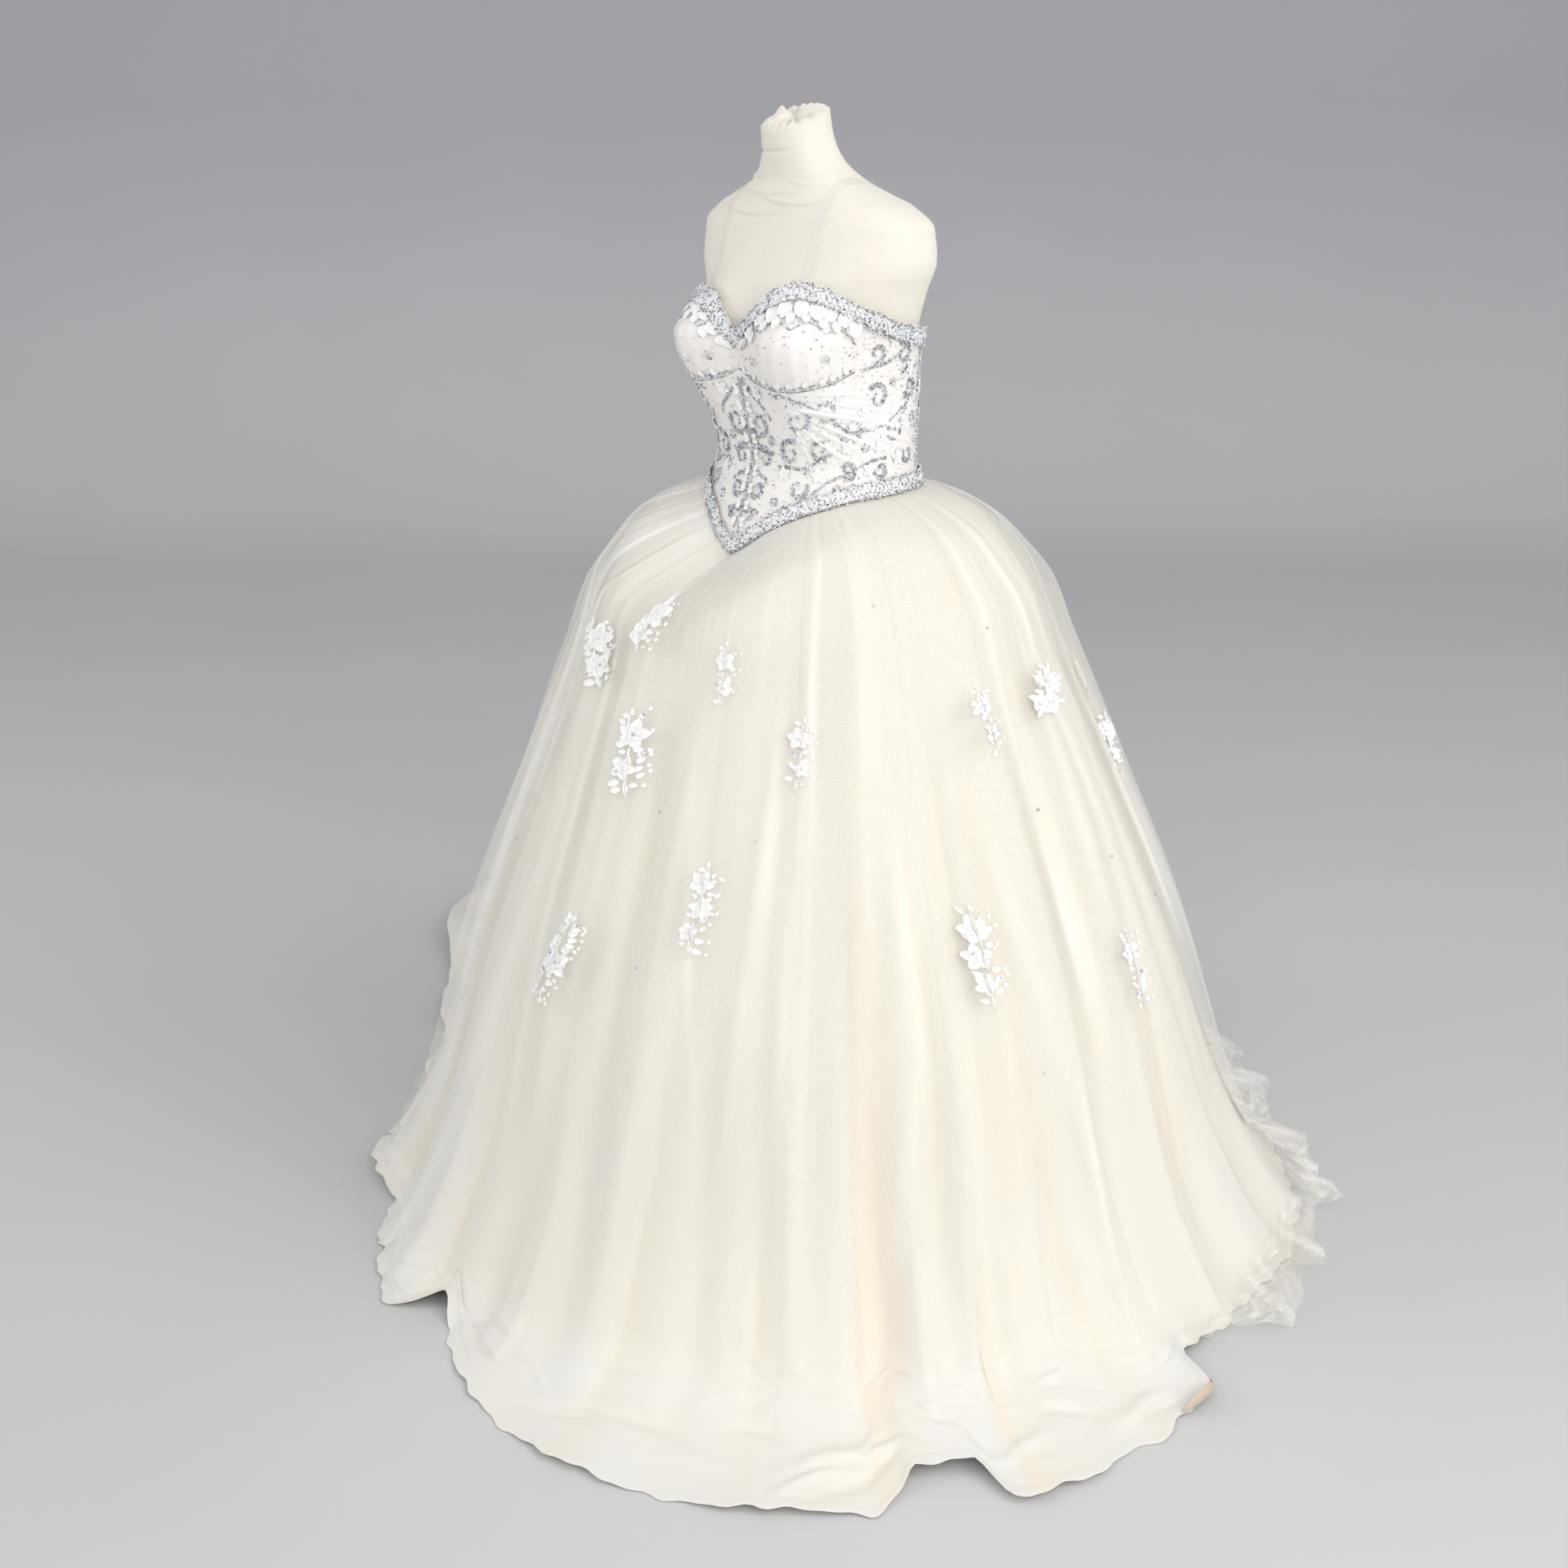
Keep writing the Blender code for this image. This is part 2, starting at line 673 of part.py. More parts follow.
def make_skirt(satin, tulle):
    under = skirt_surface(SATIN_HEM, overlay=False)
    for name, (start, end, across) in SATIN_GORES.items():
        wall(name, under, steps(start, end, across), SATIN_ROWS, SATIN_THICK, satin)
    over = skirt_surface(TULLE_HEM, overlay=True)
    for number in range(TULLE_WIDTHS):
        start = TULLE_FIRST_SEAM + number * 360 / TULLE_WIDTHS
        turns = steps(start, start + 360 / TULLE_WIDTHS, TULLE_COLUMNS)
        wall(f"tulle_{number + 1}", over, turns, TULLE_ROWS, TULLE_THICK, tulle)
    return over


def facet_point(over, turn, share):
    """Point on the overlay's own flat facets, which lie a little inside its true curves."""
    column = 360 / TULLE_WIDTHS / TULLE_COLUMNS
    left = TULLE_FIRST_SEAM + math.floor((turn - TULLE_FIRST_SEAM) / column) * column
    row = max(i for i, edge in enumerate(TULLE_ROWS[:-1]) if edge <= share)
    high, low = TULLE_ROWS[row], TULLE_ROWS[row + 1]
    across = (turn - left) / column
    down = (share - high) / (low - high)
    a, b = over(left, high), over(left, low)
    c, d = over(left + column, low), over(left + column, high)
    if down >= across:
        return a + (b - a) * down + (c - b) * across
    return a + (d - a) * across + (c - d) * down


def make_applique(row, over, lace):
    """A lobed leaf of lace that follows the overlay a little way out from it."""
    top = waistline(row["turn"])
    bend = TULLE_HEM.at(row["turn"], "height") + HEM_BEND
    middle = ON_BELL * (top - row["height"]) / (top - bend)
    radius = over(row["turn"], middle).to_2d().length
    lean = math.radians(row["lean"])

    def place(across, along, lift):
        side = across * math.cos(lean) - along * math.sin(lean)
        drop = across * math.sin(lean) + along * math.cos(lean)
        turn = row["turn"] + math.degrees(side / radius)
        share = middle + ON_BELL * APPLIQUE_SLOPE * drop / (top - bend)
        return facet_point(over, turn, share) + outward(over, turn, share) * lift

    flat = [(0.0, 0.0)]
    for index in range(APPLIQUE_EDGE):
        angle = 2 * math.pi * index / APPLIQUE_EDGE
        lobe = 1.0 + APPLIQUE_LOBE * math.cos(row["lobes"] * angle)
        across, along = row["wide"] / 2 * math.sin(angle), row["long"] / 2 * math.cos(angle)
        flat.append((across * lobe, along * lobe))
    # the lace bridges the pleats, so it clears the highest of them along each spoke
    normal = outward(over, row["turn"], middle)
    centre = place(0.0, 0.0, 0.0)
    bridge = 0.0
    for x, y in flat[1:]:
        for part in (0.2, 0.4, 0.6, 0.8):
            straight = centre.lerp(place(x, y, 0.0), part)
            bridge = max(bridge, (place(x * part, y * part, 0.0) - straight).dot(normal))
    lift = APPLIQUE_CLEAR + bridge
    outer = [place(x, y, lift + APPLIQUE_THICK) for x, y in flat]
    inner = [place(x, y, lift) for x, y in flat]
    shift = len(outer)
    faces = []
    for index in range(APPLIQUE_EDGE):
        a, b = 1 + index, 1 + (index + 1) % APPLIQUE_EDGE
        faces.extend(((0, a, b), (shift, shift + b, shift + a)))
        faces.extend(((a, shift + a, shift + b), (a, shift + b, b)))
    return add_object(f"applique_{row['number']:02d}", outer + inner, faces, lace)


def main():
    clear_scene()
    satin = finish("ivory_satin", (0.86, 0.80, 0.69), 0.42)
    tulle = finish("sheer_tulle", (0.93, 0.90, 0.84), 0.80, alpha=0.55)
    lace = finish("white_lace", (0.93, 0.92, 0.89), 0.75)
    beads = finish("silver_beads", (0.55, 0.56, 0.60), 0.30, metallic=0.6)
    jersey = finish("cream_jersey", (0.87, 0.82, 0.71), 0.90)
    clear = finish("clear_tape", (0.90, 0.90, 0.90), 0.25, alpha=0.35)
    steel = finish("stand_steel", (0.60, 0.60, 0.61), 0.35, metallic=0.9)
    make_form(jersey)
    make_stand(steel)
    make_bodice(satin, beads)
    make_straps(clear)
    over = make_skirt(satin, tulle)
    for row in APPLIQUES.rows:
        make_applique(row, over, lace)


main()
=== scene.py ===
"""Looks of a strapless satin ball gown with a sheer tulle overlay, on its limbless dress form.

Metres, +Z up, the origin on the floor under the form. A turn is an angle round that axis
in degrees, from the front (-Y) towards the wearer's left (+X). A share runs down a panel,
from 0 at its upper edge to 1 at its lower one.
"""
import math

import bpy
import numpy as np
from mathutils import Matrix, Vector


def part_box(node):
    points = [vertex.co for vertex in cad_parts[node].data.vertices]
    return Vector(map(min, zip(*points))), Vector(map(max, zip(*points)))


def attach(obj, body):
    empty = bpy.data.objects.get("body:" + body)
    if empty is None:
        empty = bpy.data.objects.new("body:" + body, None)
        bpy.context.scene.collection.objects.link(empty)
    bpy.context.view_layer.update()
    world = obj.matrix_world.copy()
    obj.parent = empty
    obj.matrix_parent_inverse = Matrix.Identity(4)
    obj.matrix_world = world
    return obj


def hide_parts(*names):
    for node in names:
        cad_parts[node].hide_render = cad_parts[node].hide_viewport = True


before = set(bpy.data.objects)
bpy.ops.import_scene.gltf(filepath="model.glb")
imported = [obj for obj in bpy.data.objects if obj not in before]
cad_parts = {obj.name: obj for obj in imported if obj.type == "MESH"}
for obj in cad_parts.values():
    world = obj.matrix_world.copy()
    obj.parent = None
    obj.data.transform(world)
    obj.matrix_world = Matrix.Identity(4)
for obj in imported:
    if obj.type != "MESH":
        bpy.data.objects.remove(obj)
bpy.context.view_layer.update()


# ==== the dress form
# A hard torso without limbs, under a cover of cream cotton jersey. The cover is pulled up
# over the neck and gathered into a little tuft, and it wrinkles where the neck begins.

class Table:
    """Rows of named columns, read smoothly at arrays of places along the first column."""

    def __init__(self, columns, *rows, period=0.0):
        data = np.array(sorted(rows), float)
        self.period = period
        if period:
            before, after = data[-1].copy(), data[0].copy()
            before[0] -= period
            after[0] += period
            data = np.vstack((before, data, after))
        self.keys = data[:, 0]
        self.values = {name: data[:, i] for i, name in enumerate(columns.split())}

    def rows(self):
        """Each row, by the names of its columns."""
        return [dict(zip(self.values, row)) for row in zip(*self.values.values())]

    def at(self, place, column):
        """Values of a column, eased so that they never overshoot a row."""
        place = np.asarray(place, float)
        keys, values = self.keys, self.values[column]
        if self.period:
            place = keys[0] + (place - keys[0]) % self.period
        place = np.clip(place, keys[0], keys[-1])
        step = np.diff(values) / np.diff(keys)
        product = step[:-1] * step[1:]
        total = np.where(product > 0, step[:-1] + step[1:], 1.0)
        inner = np.where(product > 0, 2 * product / total, 0.0)
        ends = (inner[-1], inner[0]) if self.period else (step[0], step[-1])
        slope = np.concatenate(((ends[0],), inner, (ends[1],)))
        low = np.clip(np.searchsorted(keys, place) - 1, 0, len(keys) - 2)
        span = keys[low + 1] - keys[low]
        part = (place - keys[low]) / span
        leave, arrive = slope[low] * span, slope[low + 1] * span
        rise = values[low + 1] - values[low]
        return (values[low] + leave * part + (3 * rise - 2 * leave - arrive) * part ** 2
                + (leave + arrive - 2 * rise) * part ** 3)


BODY = Table(
    "height half_width front back lean",
    (0.800, 0.172, 0.135, 0.148, 0.000),
    (0.900, 0.178, 0.150, 0.152, 0.000),
    (1.010, 0.162, 0.163, 0.134, 0.000),
    (1.090, 0.146, 0.136, 0.118, 0.000),
    (1.135, 0.138, 0.121, 0.112, 0.000),
    (1.220, 0.142, 0.131, 0.112, 0.000),
    (1.300, 0.150, 0.133, 0.107, 0.000),
    (1.360, 0.168, 0.128, 0.109, 0.000),
    (1.405, 0.189, 0.112, 0.110, 0.002),
    (1.445, 0.188, 0.096, 0.106, 0.006),
    (1.470, 0.160, 0.080, 0.098, 0.012),
    (1.485, 0.126, 0.068, 0.088, 0.018),
    (1.505, 0.084, 0.053, 0.070, 0.026),
    (1.530, 0.058, 0.048, 0.056, 0.036),
    (1.560, 0.047, 0.045, 0.048, 0.045),
    (1.600, 0.044, 0.044, 0.044, 0.050),
)
BODY_SQUARENESS = 2.25
BUST_TURN, BUST_HEIGHT, BUST_RISE = 29.0, 1.300, 0.052
BUST_SPREAD, BUST_ABOVE, BUST_BELOW = 22.0, 0.052, 0.085


def wrapped(turn):
    """The same turns, between -180 and 180."""
    return (np.asarray(turn, float) + 180.0) % 360.0 - 180.0


def hill(away, width):
    """A smooth rise to 1 where away is nought."""
    return np.exp(-(away / width) ** 2)


def body_radius(turn, height, padding=0.0):
    """Reach of the form from the middle of its section, with padding over the bust."""
    turn = wrapped(turn)
    angle = np.radians(turn)
    width = BODY.at(height, "half_width")
    depth = np.where(np.abs(turn) < 90, BODY.at(height, "front"), BODY.at(height, "back"))
    radius = (np.abs(np.sin(angle) / width) ** BODY_SQUARENESS
              + np.abs(np.cos(angle) / depth) ** BODY_SQUARENESS) ** (-1 / BODY_SQUARENESS)
    tall = hill(height - BUST_HEIGHT, np.where(height > BUST_HEIGHT, BUST_ABOVE, BUST_BELOW))
    around = hill(turn - BUST_TURN, BUST_SPREAD) + hill(turn + BUST_TURN, BUST_SPREAD)
    return radius + (BUST_RISE + padding) * tall * around


def at_reach(turn, radius, height, lean=0.0):
    """Points at a turn, a reach from the axis and a height, stacked along the last axis."""
    angle = np.radians(turn)
    return np.stack(np.broadcast_arrays(
        np.sin(angle) * radius, -np.cos(angle) * radius - lean, height), axis=-1)


def body_point(turn, height, out=0.0, padding=0.0):
    """Points of the form's surface, moved out."""
    turn, height = np.broadcast_arrays(np.asarray(turn, float), np.asarray(height, float))
    radius = body_radius(turn, height, padding) + out
    return at_reach(turn, radius, height, BODY.at(height, "lean"))


def add_object(name, data):
    """A new object of the scene, at the origin."""
    made = bpy.data.objects.new(name, data)
    bpy.context.collection.objects.link(made)
    return made


def sheet_mesh(name, points, material, ring=False, **marks):
    """A mesh from points[column, row], facing outwards, with a UV map in metres of cloth.

    Each further keyword is a value at every point, kept as an attribute of that name.
    """
    columns, rows = points.shape[:2]
    left = np.arange(columns if ring else columns - 1)
    right = (left + 1) % columns
    row = np.arange(rows - 1)
    faces = np.stack(np.broadcast_arrays(
        left[:, None] * rows + row, left[:, None] * rows + row + 1,
        right[:, None] * rows + row + 1, right[:, None] * rows + row), axis=-1).reshape(-1, 4)
    mesh = bpy.data.meshes.new(name)
    mesh.vertices.add(columns * rows)
    mesh.vertices.foreach_set("co", points.astype(np.float32).ravel())
    mesh.loops.add(faces.size)
    mesh.loops.foreach_set("vertex_index", faces.astype(np.int32).ravel())
    mesh.polygons.add(len(faces))
    mesh.polygons.foreach_set("loop_start", np.arange(0, faces.size, 4, dtype=np.int32))
    mesh.polygons.foreach_set("loop_total", np.full(len(faces), 4, np.int32))
    closed = np.concatenate((points, points[:1])) if ring else points
    across = np.linalg.norm(np.diff(closed, axis=0), axis=2).mean(1)
    down = np.linalg.norm(np.diff(points, axis=1), axis=2).mean(0)
    width = np.concatenate(((0.0,), np.cumsum(across)))
    length = np.concatenate(((0.0,), np.cumsum(down)))
    column_of = np.repeat(left, rows - 1)[:, None] + np.array((0, 0, 1, 1))
    row_of = np.tile(row, len(left))[:, None] + np.array((0, 1, 1, 0))
    flat = np.stack((width[column_of], -length[row_of]), axis=-1)
    mesh.uv_layers.new(name="cloth").data.foreach_set("uv", flat.astype(np.float32).ravel())
    for label, value in marks.items():
        value = np.broadcast_to(value, (columns, rows)).astype(np.float32)
        mesh.attributes.new(label, "FLOAT", "POINT").data.foreach_set("value", value.ravel())
    mesh.update(calc_edges=True)
    mesh.shade_smooth()
    mesh.materials.append(material)
    return add_object(name, mesh)


def outward(points, ring=False):
    """Unit normals of a grid of points whose rows run down."""
    if ring:
        across = np.roll(points, -1, axis=0) - np.roll(points, 1, axis=0)
    else:
        across = np.gradient(points, axis=0)
    normal = np.cross(np.gradient(points, axis=1), across)
    return normal / np.maximum(np.linalg.norm(normal, axis=-1, keepdims=True), 1e-12)


def all_round(count):
    """Turns spaced evenly round the axis, one a column."""
    return np.linspace(0, 360, count, endpoint=False)[:, None]


def spaced(*runs):
    """Places along runs of (start, end, count), each starting where the last one ends."""
    first, *rest = [np.linspace(*run) for run in runs]
    return np.concatenate((first, *[run[1:] for run in rest]))[None]


def settle(piece, node=None):
    """Gives a finished piece its body, and hides the CAD node that it replaces."""
    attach(piece, "root")
    if node:
        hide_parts(node)


def set_inputs(tree, node, inputs):
    """Sets each named input of a node to a value, or links it to a socket."""
    for key, value in inputs.items():
        if isinstance(value, bpy.types.NodeSocket):
            tree.links.new(value, node.inputs[key])
        else:
            node.inputs[key].default_value = value


def add_node(tree, kind, inputs=None, **settings):
    """A shader or geometry node with its settings and its inputs."""
    made = tree.nodes.new(kind)
    for key, value in settings.items():
        setattr(made, key, value)
    set_inputs(tree, made, inputs or {})
    return made


def computed(tree, operation, *values, **settings):
    """The result of one Math node."""
    return add_node(tree, "ShaderNodeMath", dict(enumerate(values)), operation=operation,
                    **settings).outputs[0]


def new_tree(name, kind, inputs, outputs):
    """An empty group with named inputs and outputs, and its two end nodes."""
    tree = bpy.data.node_groups.new(name, kind)
    for label, socket, value in inputs:
        made = tree.interface.new_socket(label, in_out="INPUT", socket_type=socket)
        if value is not None:
            made.default_value = value
    for label, socket in outputs:
        tree.interface.new_socket(label, in_out="OUTPUT", socket_type=socket)
    return tree, tree.nodes.new("NodeGroupInput"), tree.nodes.new("NodeGroupOutput")


def make_weave_group():
    """Crossing threads: their height for a bump, and the slubs in them as a tone."""
    tree, given, result = new_tree(
        "crossing_threads", "ShaderNodeTree",
        (("Place", "NodeSocketVector", None), ("Warp", "NodeSocketFloat", 2000.0),
         ("Weft", "NodeSocketFloat", 2000.0)),
        (("Height", "NodeSocketFloat"), ("Tone", "NodeSocketFloat")))
    apart = add_node(tree, "ShaderNodeSeparateXYZ", {0: given.outputs["Place"]})
    waves = []
    for axis, count in (("X", "Warp"), ("Y", "Weft")):
        turns = computed(tree, "MULTIPLY", apart.outputs[axis], given.outputs[count])
        waves.append(computed(tree, "SINE", computed(tree, "MULTIPLY", turns, math.tau)))
    raised = computed(tree, "MULTIPLY_ADD", computed(tree, "MULTIPLY", *waves), 0.5, 0.5)
    slub = add_node(tree, "ShaderNodeTexNoise", {
        "Vector": given.outputs["Place"], "Scale": 90.0, "Detail": 3.0, "Roughness": 0.6})
    set_inputs(tree, result, {"Height": raised, "Tone": slub.outputs["Fac"]})
    return tree


def make_cloud_group():
    """Broad soft unevenness of a finish, from 0 to 1."""
    tree, given, result = new_tree(
        "soft_unevenness", "ShaderNodeTree",
        (("Place", "NodeSocketVector", None), ("Size", "NodeSocketFloat", 0.1)),
        (("Tone", "NodeSocketFloat"),))
    cloud = add_node(tree, "ShaderNodeTexNoise", {
        "Vector": given.outputs["Place"], "Detail": 4.0, "Roughness": 0.55,
        "Scale": computed(tree, "DIVIDE", 1.0, given.outputs["Size"])})
    spread = add_node(tree, "ShaderNodeMapRange", {
        "Value": cloud.outputs["Fac"], "From Min": 0.3, "From Max": 0.7})
    set_inputs(tree, result, {"Tone": spread.outputs[0]})
    return tree


WEAVE = make_weave_group()
CLOUD = make_cloud_group()


def new_finish(name):
    """A material, its node tree and its Principled shader."""
    material = bpy.data.materials.new(name)
    material.use_nodes = True
    return material, material.node_tree, material.node_tree.nodes["Principled BSDF"]


def blended(tree, share, first, second):
    """A colour between two, by a share from 0 to 1."""
    mix = add_node(tree, "ShaderNodeMix", {"Factor": share}, data_type="RGBA")
    opaque = [colour if isinstance(colour, bpy.types.NodeSocket) else (*colour, 1.0)
              for colour in (first, second)]
    set_inputs(tree, mix, {6: opaque[0], 7: opaque[1]})
    return mix.outputs[2]


def ranged(tree, value, start, end, low, high):
    """A value spread from one range onto another, and kept inside it."""
    return add_node(tree, "ShaderNodeMapRange", {
        "Value": value, "From Min": start, "From Max": end,
        "To Min": low, "To Max": high}).outputs[0]


def bumped(tree, height, strength, distance):
    """A normal that follows a height."""
    return add_node(tree, "ShaderNodeBump", {
        "Height": height, "Strength": strength, "Distance": distance}).outputs[0]


def object_places(tree):
    """The coordinates of the piece itself."""
    return add_node(tree, "ShaderNodeTexCoord").outputs["Object"]


def cloth_places(tree):
    """The metre UV map of a cloth piece."""
    return add_node(tree, "ShaderNodeUVMap", uv_map="cloth").outputs["UV"]


def attribute(tree, name):
    """A value that is kept at each point of the mesh."""
    return add_node(tree, "ShaderNodeAttribute", attribute_name=name).outputs["Fac"]


def threads(tree, warp, weft):
    """The height and the tone of crossing threads, so many to a metre."""
    woven = add_node(tree, "ShaderNodeGroup", {
        "Place": cloth_places(tree), "Warp": warp, "Weft": weft}, node_tree=WEAVE)
    return woven.outputs["Height"], woven.outputs["Tone"]


def clouds(tree, size):
    """Soft unevenness of a size in metres."""
    return add_node(tree, "ShaderNodeGroup", {"Place": object_places(tree), "Size": size},
                    node_tree=CLOUD).outputs["Tone"]


def make_jersey():
    """Fine cotton knit: cream and matt, with thin upright ribs and a slight fuzz."""
    material, tree, shader = new_finish("jersey_cover")
    ribs, tone = threads(tree, 620.0, 480.0)
    broad = blended(tree, clouds(tree, 0.11), (0.78, 0.72, 0.61), (0.83, 0.78, 0.68))
    set_inputs(tree, shader, {
        "Base Color": blended(tree, tone, broad, (0.85, 0.81, 0.73)),
        "Roughness": ranged(tree, tone, 0, 1, 0.84, 0.97),
        "Sheen Weight": 0.2, "Sheen Roughness": 0.6, "Specular IOR Level": 0.25,
        "Normal": bumped(tree, ribs, 0.35, 0.0005)})
    return material


JERSEY = make_jersey()
FORM_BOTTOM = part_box("form_torso")[0].z
NECK_TOP = 1.585
NECK_TILT = 0.35
NECK_STRAIGHT = 1.54
KNOT_TURN, KNOT_AWAY, KNOT_WIDE, KNOT_TALL = -62.0, 0.018, 0.009, 0.012
COVER_FOLDS = Table(
    "height turn half long dip depth",
    (1.4680, -18, 0.0030, 46, 0.010, 0.0024),
    (1.4740, 160, 0.0030, 50, 0.008, 0.0020),
    (1.4810, 24, 0.0026, 40, 0.008, 0.0028),
    (1.4920, -8, 0.0024, 52, 0.006, 0.0026),
    (1.4970, 205, 0.0026, 44, 0.006, 0.0018),
    (1.5030, 60, 0.0024, 38, 0.006, 0.0020),
    (1.5120, -60, 0.0022, 44, 0.005, 0.0018),
    (1.5450, -30, 0.0040, 60, 0.004, -0.0016),
)
COVER_SEAMS = (-97.0, 97.0, 180.0)


def cover_relief(turn, height):
    """Curved wrinkles round the base of the neck, and the flat seams of the cover."""
    total = -0.0007 * sum(hill(wrapped(turn - seam), 0.9) for seam in COVER_SEAMS)
    for row in COVER_FOLDS.rows():
        away = wrapped(turn - row["turn"]) / row["long"]
        line = row["height"] + row["dip"] * (away ** 2 - 0.5)
        total = total + 1.6 * row["depth"] * hill(height - line, row["half"]) * np.exp(-away ** 4)
    return total


def make_form():
    turns = all_round(150)
    heights = spaced((FORM_BOTTOM, 1.44, 44), (1.44, NECK_TOP, 72))
    points = body_point(turns, heights, cover_relief(turns, heights))
    rise = np.clip((heights - NECK_STRAIGHT) / (NECK_TOP - NECK_STRAIGHT), 0, 1)
    points[..., 2] += NECK_TILT * rise * (points[..., 1] + BODY.at(heights, "lean"))
    # the cut through the neck is closed by the cover, gathered towards its middle
    rim = points[:, -1]
    middle = rim.mean(0)
    angle = np.radians(turns[:, 0])
    rings = []
    for share in np.linspace(0, 1, 24)[1:]:
        ring = rim + (middle - rim) * min(share, 0.999)
        roll = 0.006 * math.sin(min(share * 4, 1) * math.pi / 2) - 0.005 * share
        ring[:, 2] += roll + 0.0024 * math.sin(math.pi * share) * np.cos(
            15 * angle + 3 * np.sin(2 * angle))
        rings.append(ring)
    cap = np.stack(rings, axis=1)
    knot = middle + at_reach(KNOT_TURN, KNOT_AWAY, 0.0)
    across, along = cap[..., 0] - knot[0], cap[..., 1] - knot[1]
    swirl = np.arctan2(along, across)
    cap[..., 2] += np.exp(-(across ** 2 + along ** 2) / KNOT_WIDE ** 2) * (
        KNOT_TALL + 0.003 * np.cos(5 * swirl))
    # underneath, the cover is drawn in flat
    below = [points[:, 0] * np.array((share, share, 1.0))
             for share in np.linspace(0.01, 1, 12)[:-1]]
    whole = np.concatenate((np.stack(below, axis=1), points, cap), axis=1)
    form = sheet_mesh("form_cover", whole[:, ::-1], JERSEY, ring=True)
    settle(form, "form_torso")


make_form()


# ==== the stand
# A steel pole on a round weighted foot, brushed and lacquered. It stays hidden under the
# skirt, so it is as plain as any shop stand's.

def make_brushed_steel():
    """Brushed round the pole, under a thin coat of lacquer."""
    material, tree, shader = new_finish("brushed_stand_steel")
    stretched = add_node(tree, "ShaderNodeMapping", {
        "Vector": object_places(tree), "Scale": (60.0, 60.0, 2200.0)})
    grain = add_node(tree, "ShaderNodeTexNoise", {
        "Vector": stretched.outputs[0], "Scale": 1.0, "Detail": 2.0}).outputs["Fac"]
    set_inputs(tree, shader, {
        "Base Color": blended(tree, clouds(tree, 0.08), (0.44, 0.44, 0.45), (0.56, 0.56, 0.57)),
        "Roughness": ranged(tree, grain, 0, 1, 0.28, 0.46), "Metallic": 0.95,
        "Normal": bumped(tree, grain, 0.15, 0.0002)})
    return material


STEEL = make_brushed_steel()
POLE_RADIUS = 0.016
BASE_RADIUS = 0.165
TINY = 0.0003             # radius at the middle of a turned end, and the gap between two pieces


def make_turned(name, profile, node_name):
    """A smooth solid turned round the axis from (radius, height) pairs, from the top down."""
    profile = np.array(profile)[None]
    points = at_reach(all_round(96), profile[..., 0], profile[..., 1])
    piece = sheet_mesh(name, points, STEEL, ring=True)
    piece.data.set_sharp_from_angle(angle=math.radians(40))
    settle(piece, node_name)


make_turned("stand_foot", (
    (TINY, 0.030), (POLE_RADIUS * 1.6, 0.030), (BASE_RADIUS * 0.5, 0.024),
    (BASE_RADIUS - 0.012, 0.0142), (BASE_RADIUS - 0.004, 0.0125), (BASE_RADIUS - 0.001, 0.010),
    (BASE_RADIUS, 0.007), (BASE_RADIUS, 0.002), (BASE_RADIUS - 0.002, 0.0), (TINY, 0.0)),
    "stand_base")
make_turned("stand_post", (
    (TINY, FORM_BOTTOM - TINY), (POLE_RADIUS, FORM_BOTTOM - TINY), (POLE_RADIUS, 0.0303),
    (TINY, 0.0303)), "stand_pole")


# ==== the bodice
# Duchess satin over boning: two moulded cups, a front drawn into soft folds from below each
# cup, side panels, and two backs that close at the centre back.

def make_satin(name, light, fold_shade_tone, gloss):
    """Ivory satin: a soft gloss, fine threads, and painted warm shade down in its folds, standing
    in for light bounced between them.
    """
    material, tree, shader = new_finish(name)
    weave, tone = threads(tree, 2600.0, 1500.0)
    between = tuple(0.7 * a + 0.3 * b for a, b in zip(light, fold_shade_tone))
    broad = blended(tree, clouds(tree, 0.16), light, between)
    set_inputs(tree, shader, {
        # painted shade: the base colour turns to the warm fold tone where the fold mark is high,
        # for shade and bounced light in the folds
        "Base Color": blended(tree, attribute(tree, "hollow"), broad, fold_shade_tone),
        "Roughness": ranged(tree, tone, 0.3, 0.7, gloss - 0.05, gloss + 0.07),
        "Sheen Weight": 0.25, "Sheen Roughness": 0.45, "Specular IOR Level": 0.40,
        "Normal": bumped(tree, weave, 0.20, 0.0002)})
    return material


# the second colour is the painted warm shade laid into the satin's folds
BODICE_SATIN = make_satin("bodice_satin", (0.90, 0.89, 0.87), (0.82, 0.76, 0.70), 0.42)
BODICE_LIFT = 0.0065      # form to the outside of the bodice
CUP_PADDING = 0.006
RIGHT_CUP_DROP = 0.017
SEAM_GAP = 0.0003
NECKLINE = Table(
    "turn height",
    (0, 1.312), (9, 1.337), (21, 1.367), (35, 1.379), (48, 1.370),
    (63, 1.347), (85, 1.322), (108, 1.309), (180, 1.292),
)
UNDER_BUST = Table(
    "turn height",
    (0, 1.262), (12, 1.246), (30, 1.238), (48, 1.246), (62, 1.262),
)
WAISTLINE = Table(
    "turn height",
    (0, 1.008), (10, 1.026), (22, 1.050), (42, 1.073), (66, 1.088), (105, 1.092), (180, 1.090),
)
DRAPE_TURN, DRAPE_HEIGHT = 24.0, 1.236    # where the folds of the front are drawn together
DRAPE_FOLDS = Table(
    "end turn half depth",
    (1.066, 34, 0.0044, 0.0014),
    (1.080, 56, 0.0040, 0.0020),
    (1.094, 88, 0.0048, 0.0026),
    (1.108, 110, 0.0038, 0.0020),
    (1.121, 124, 0.0046, 0.0028),
    (1.133, 130, 0.0034, 0.0020),
    (1.146, 128, 0.0046, 0.0030),
    (1.159, 132, 0.0036, 0.0022),
    (1.171, 126, 0.0046, 0.0030),
    (1.184, 122, 0.0034, 0.0020),
    (1.197, 126, 0.0044, 0.0026),
    (1.211, 112, 0.0036, 0.0020),
    (1.226, 104, 0.0042, 0.0020),
    (1.240, 88, 0.0034, 0.0014),
)
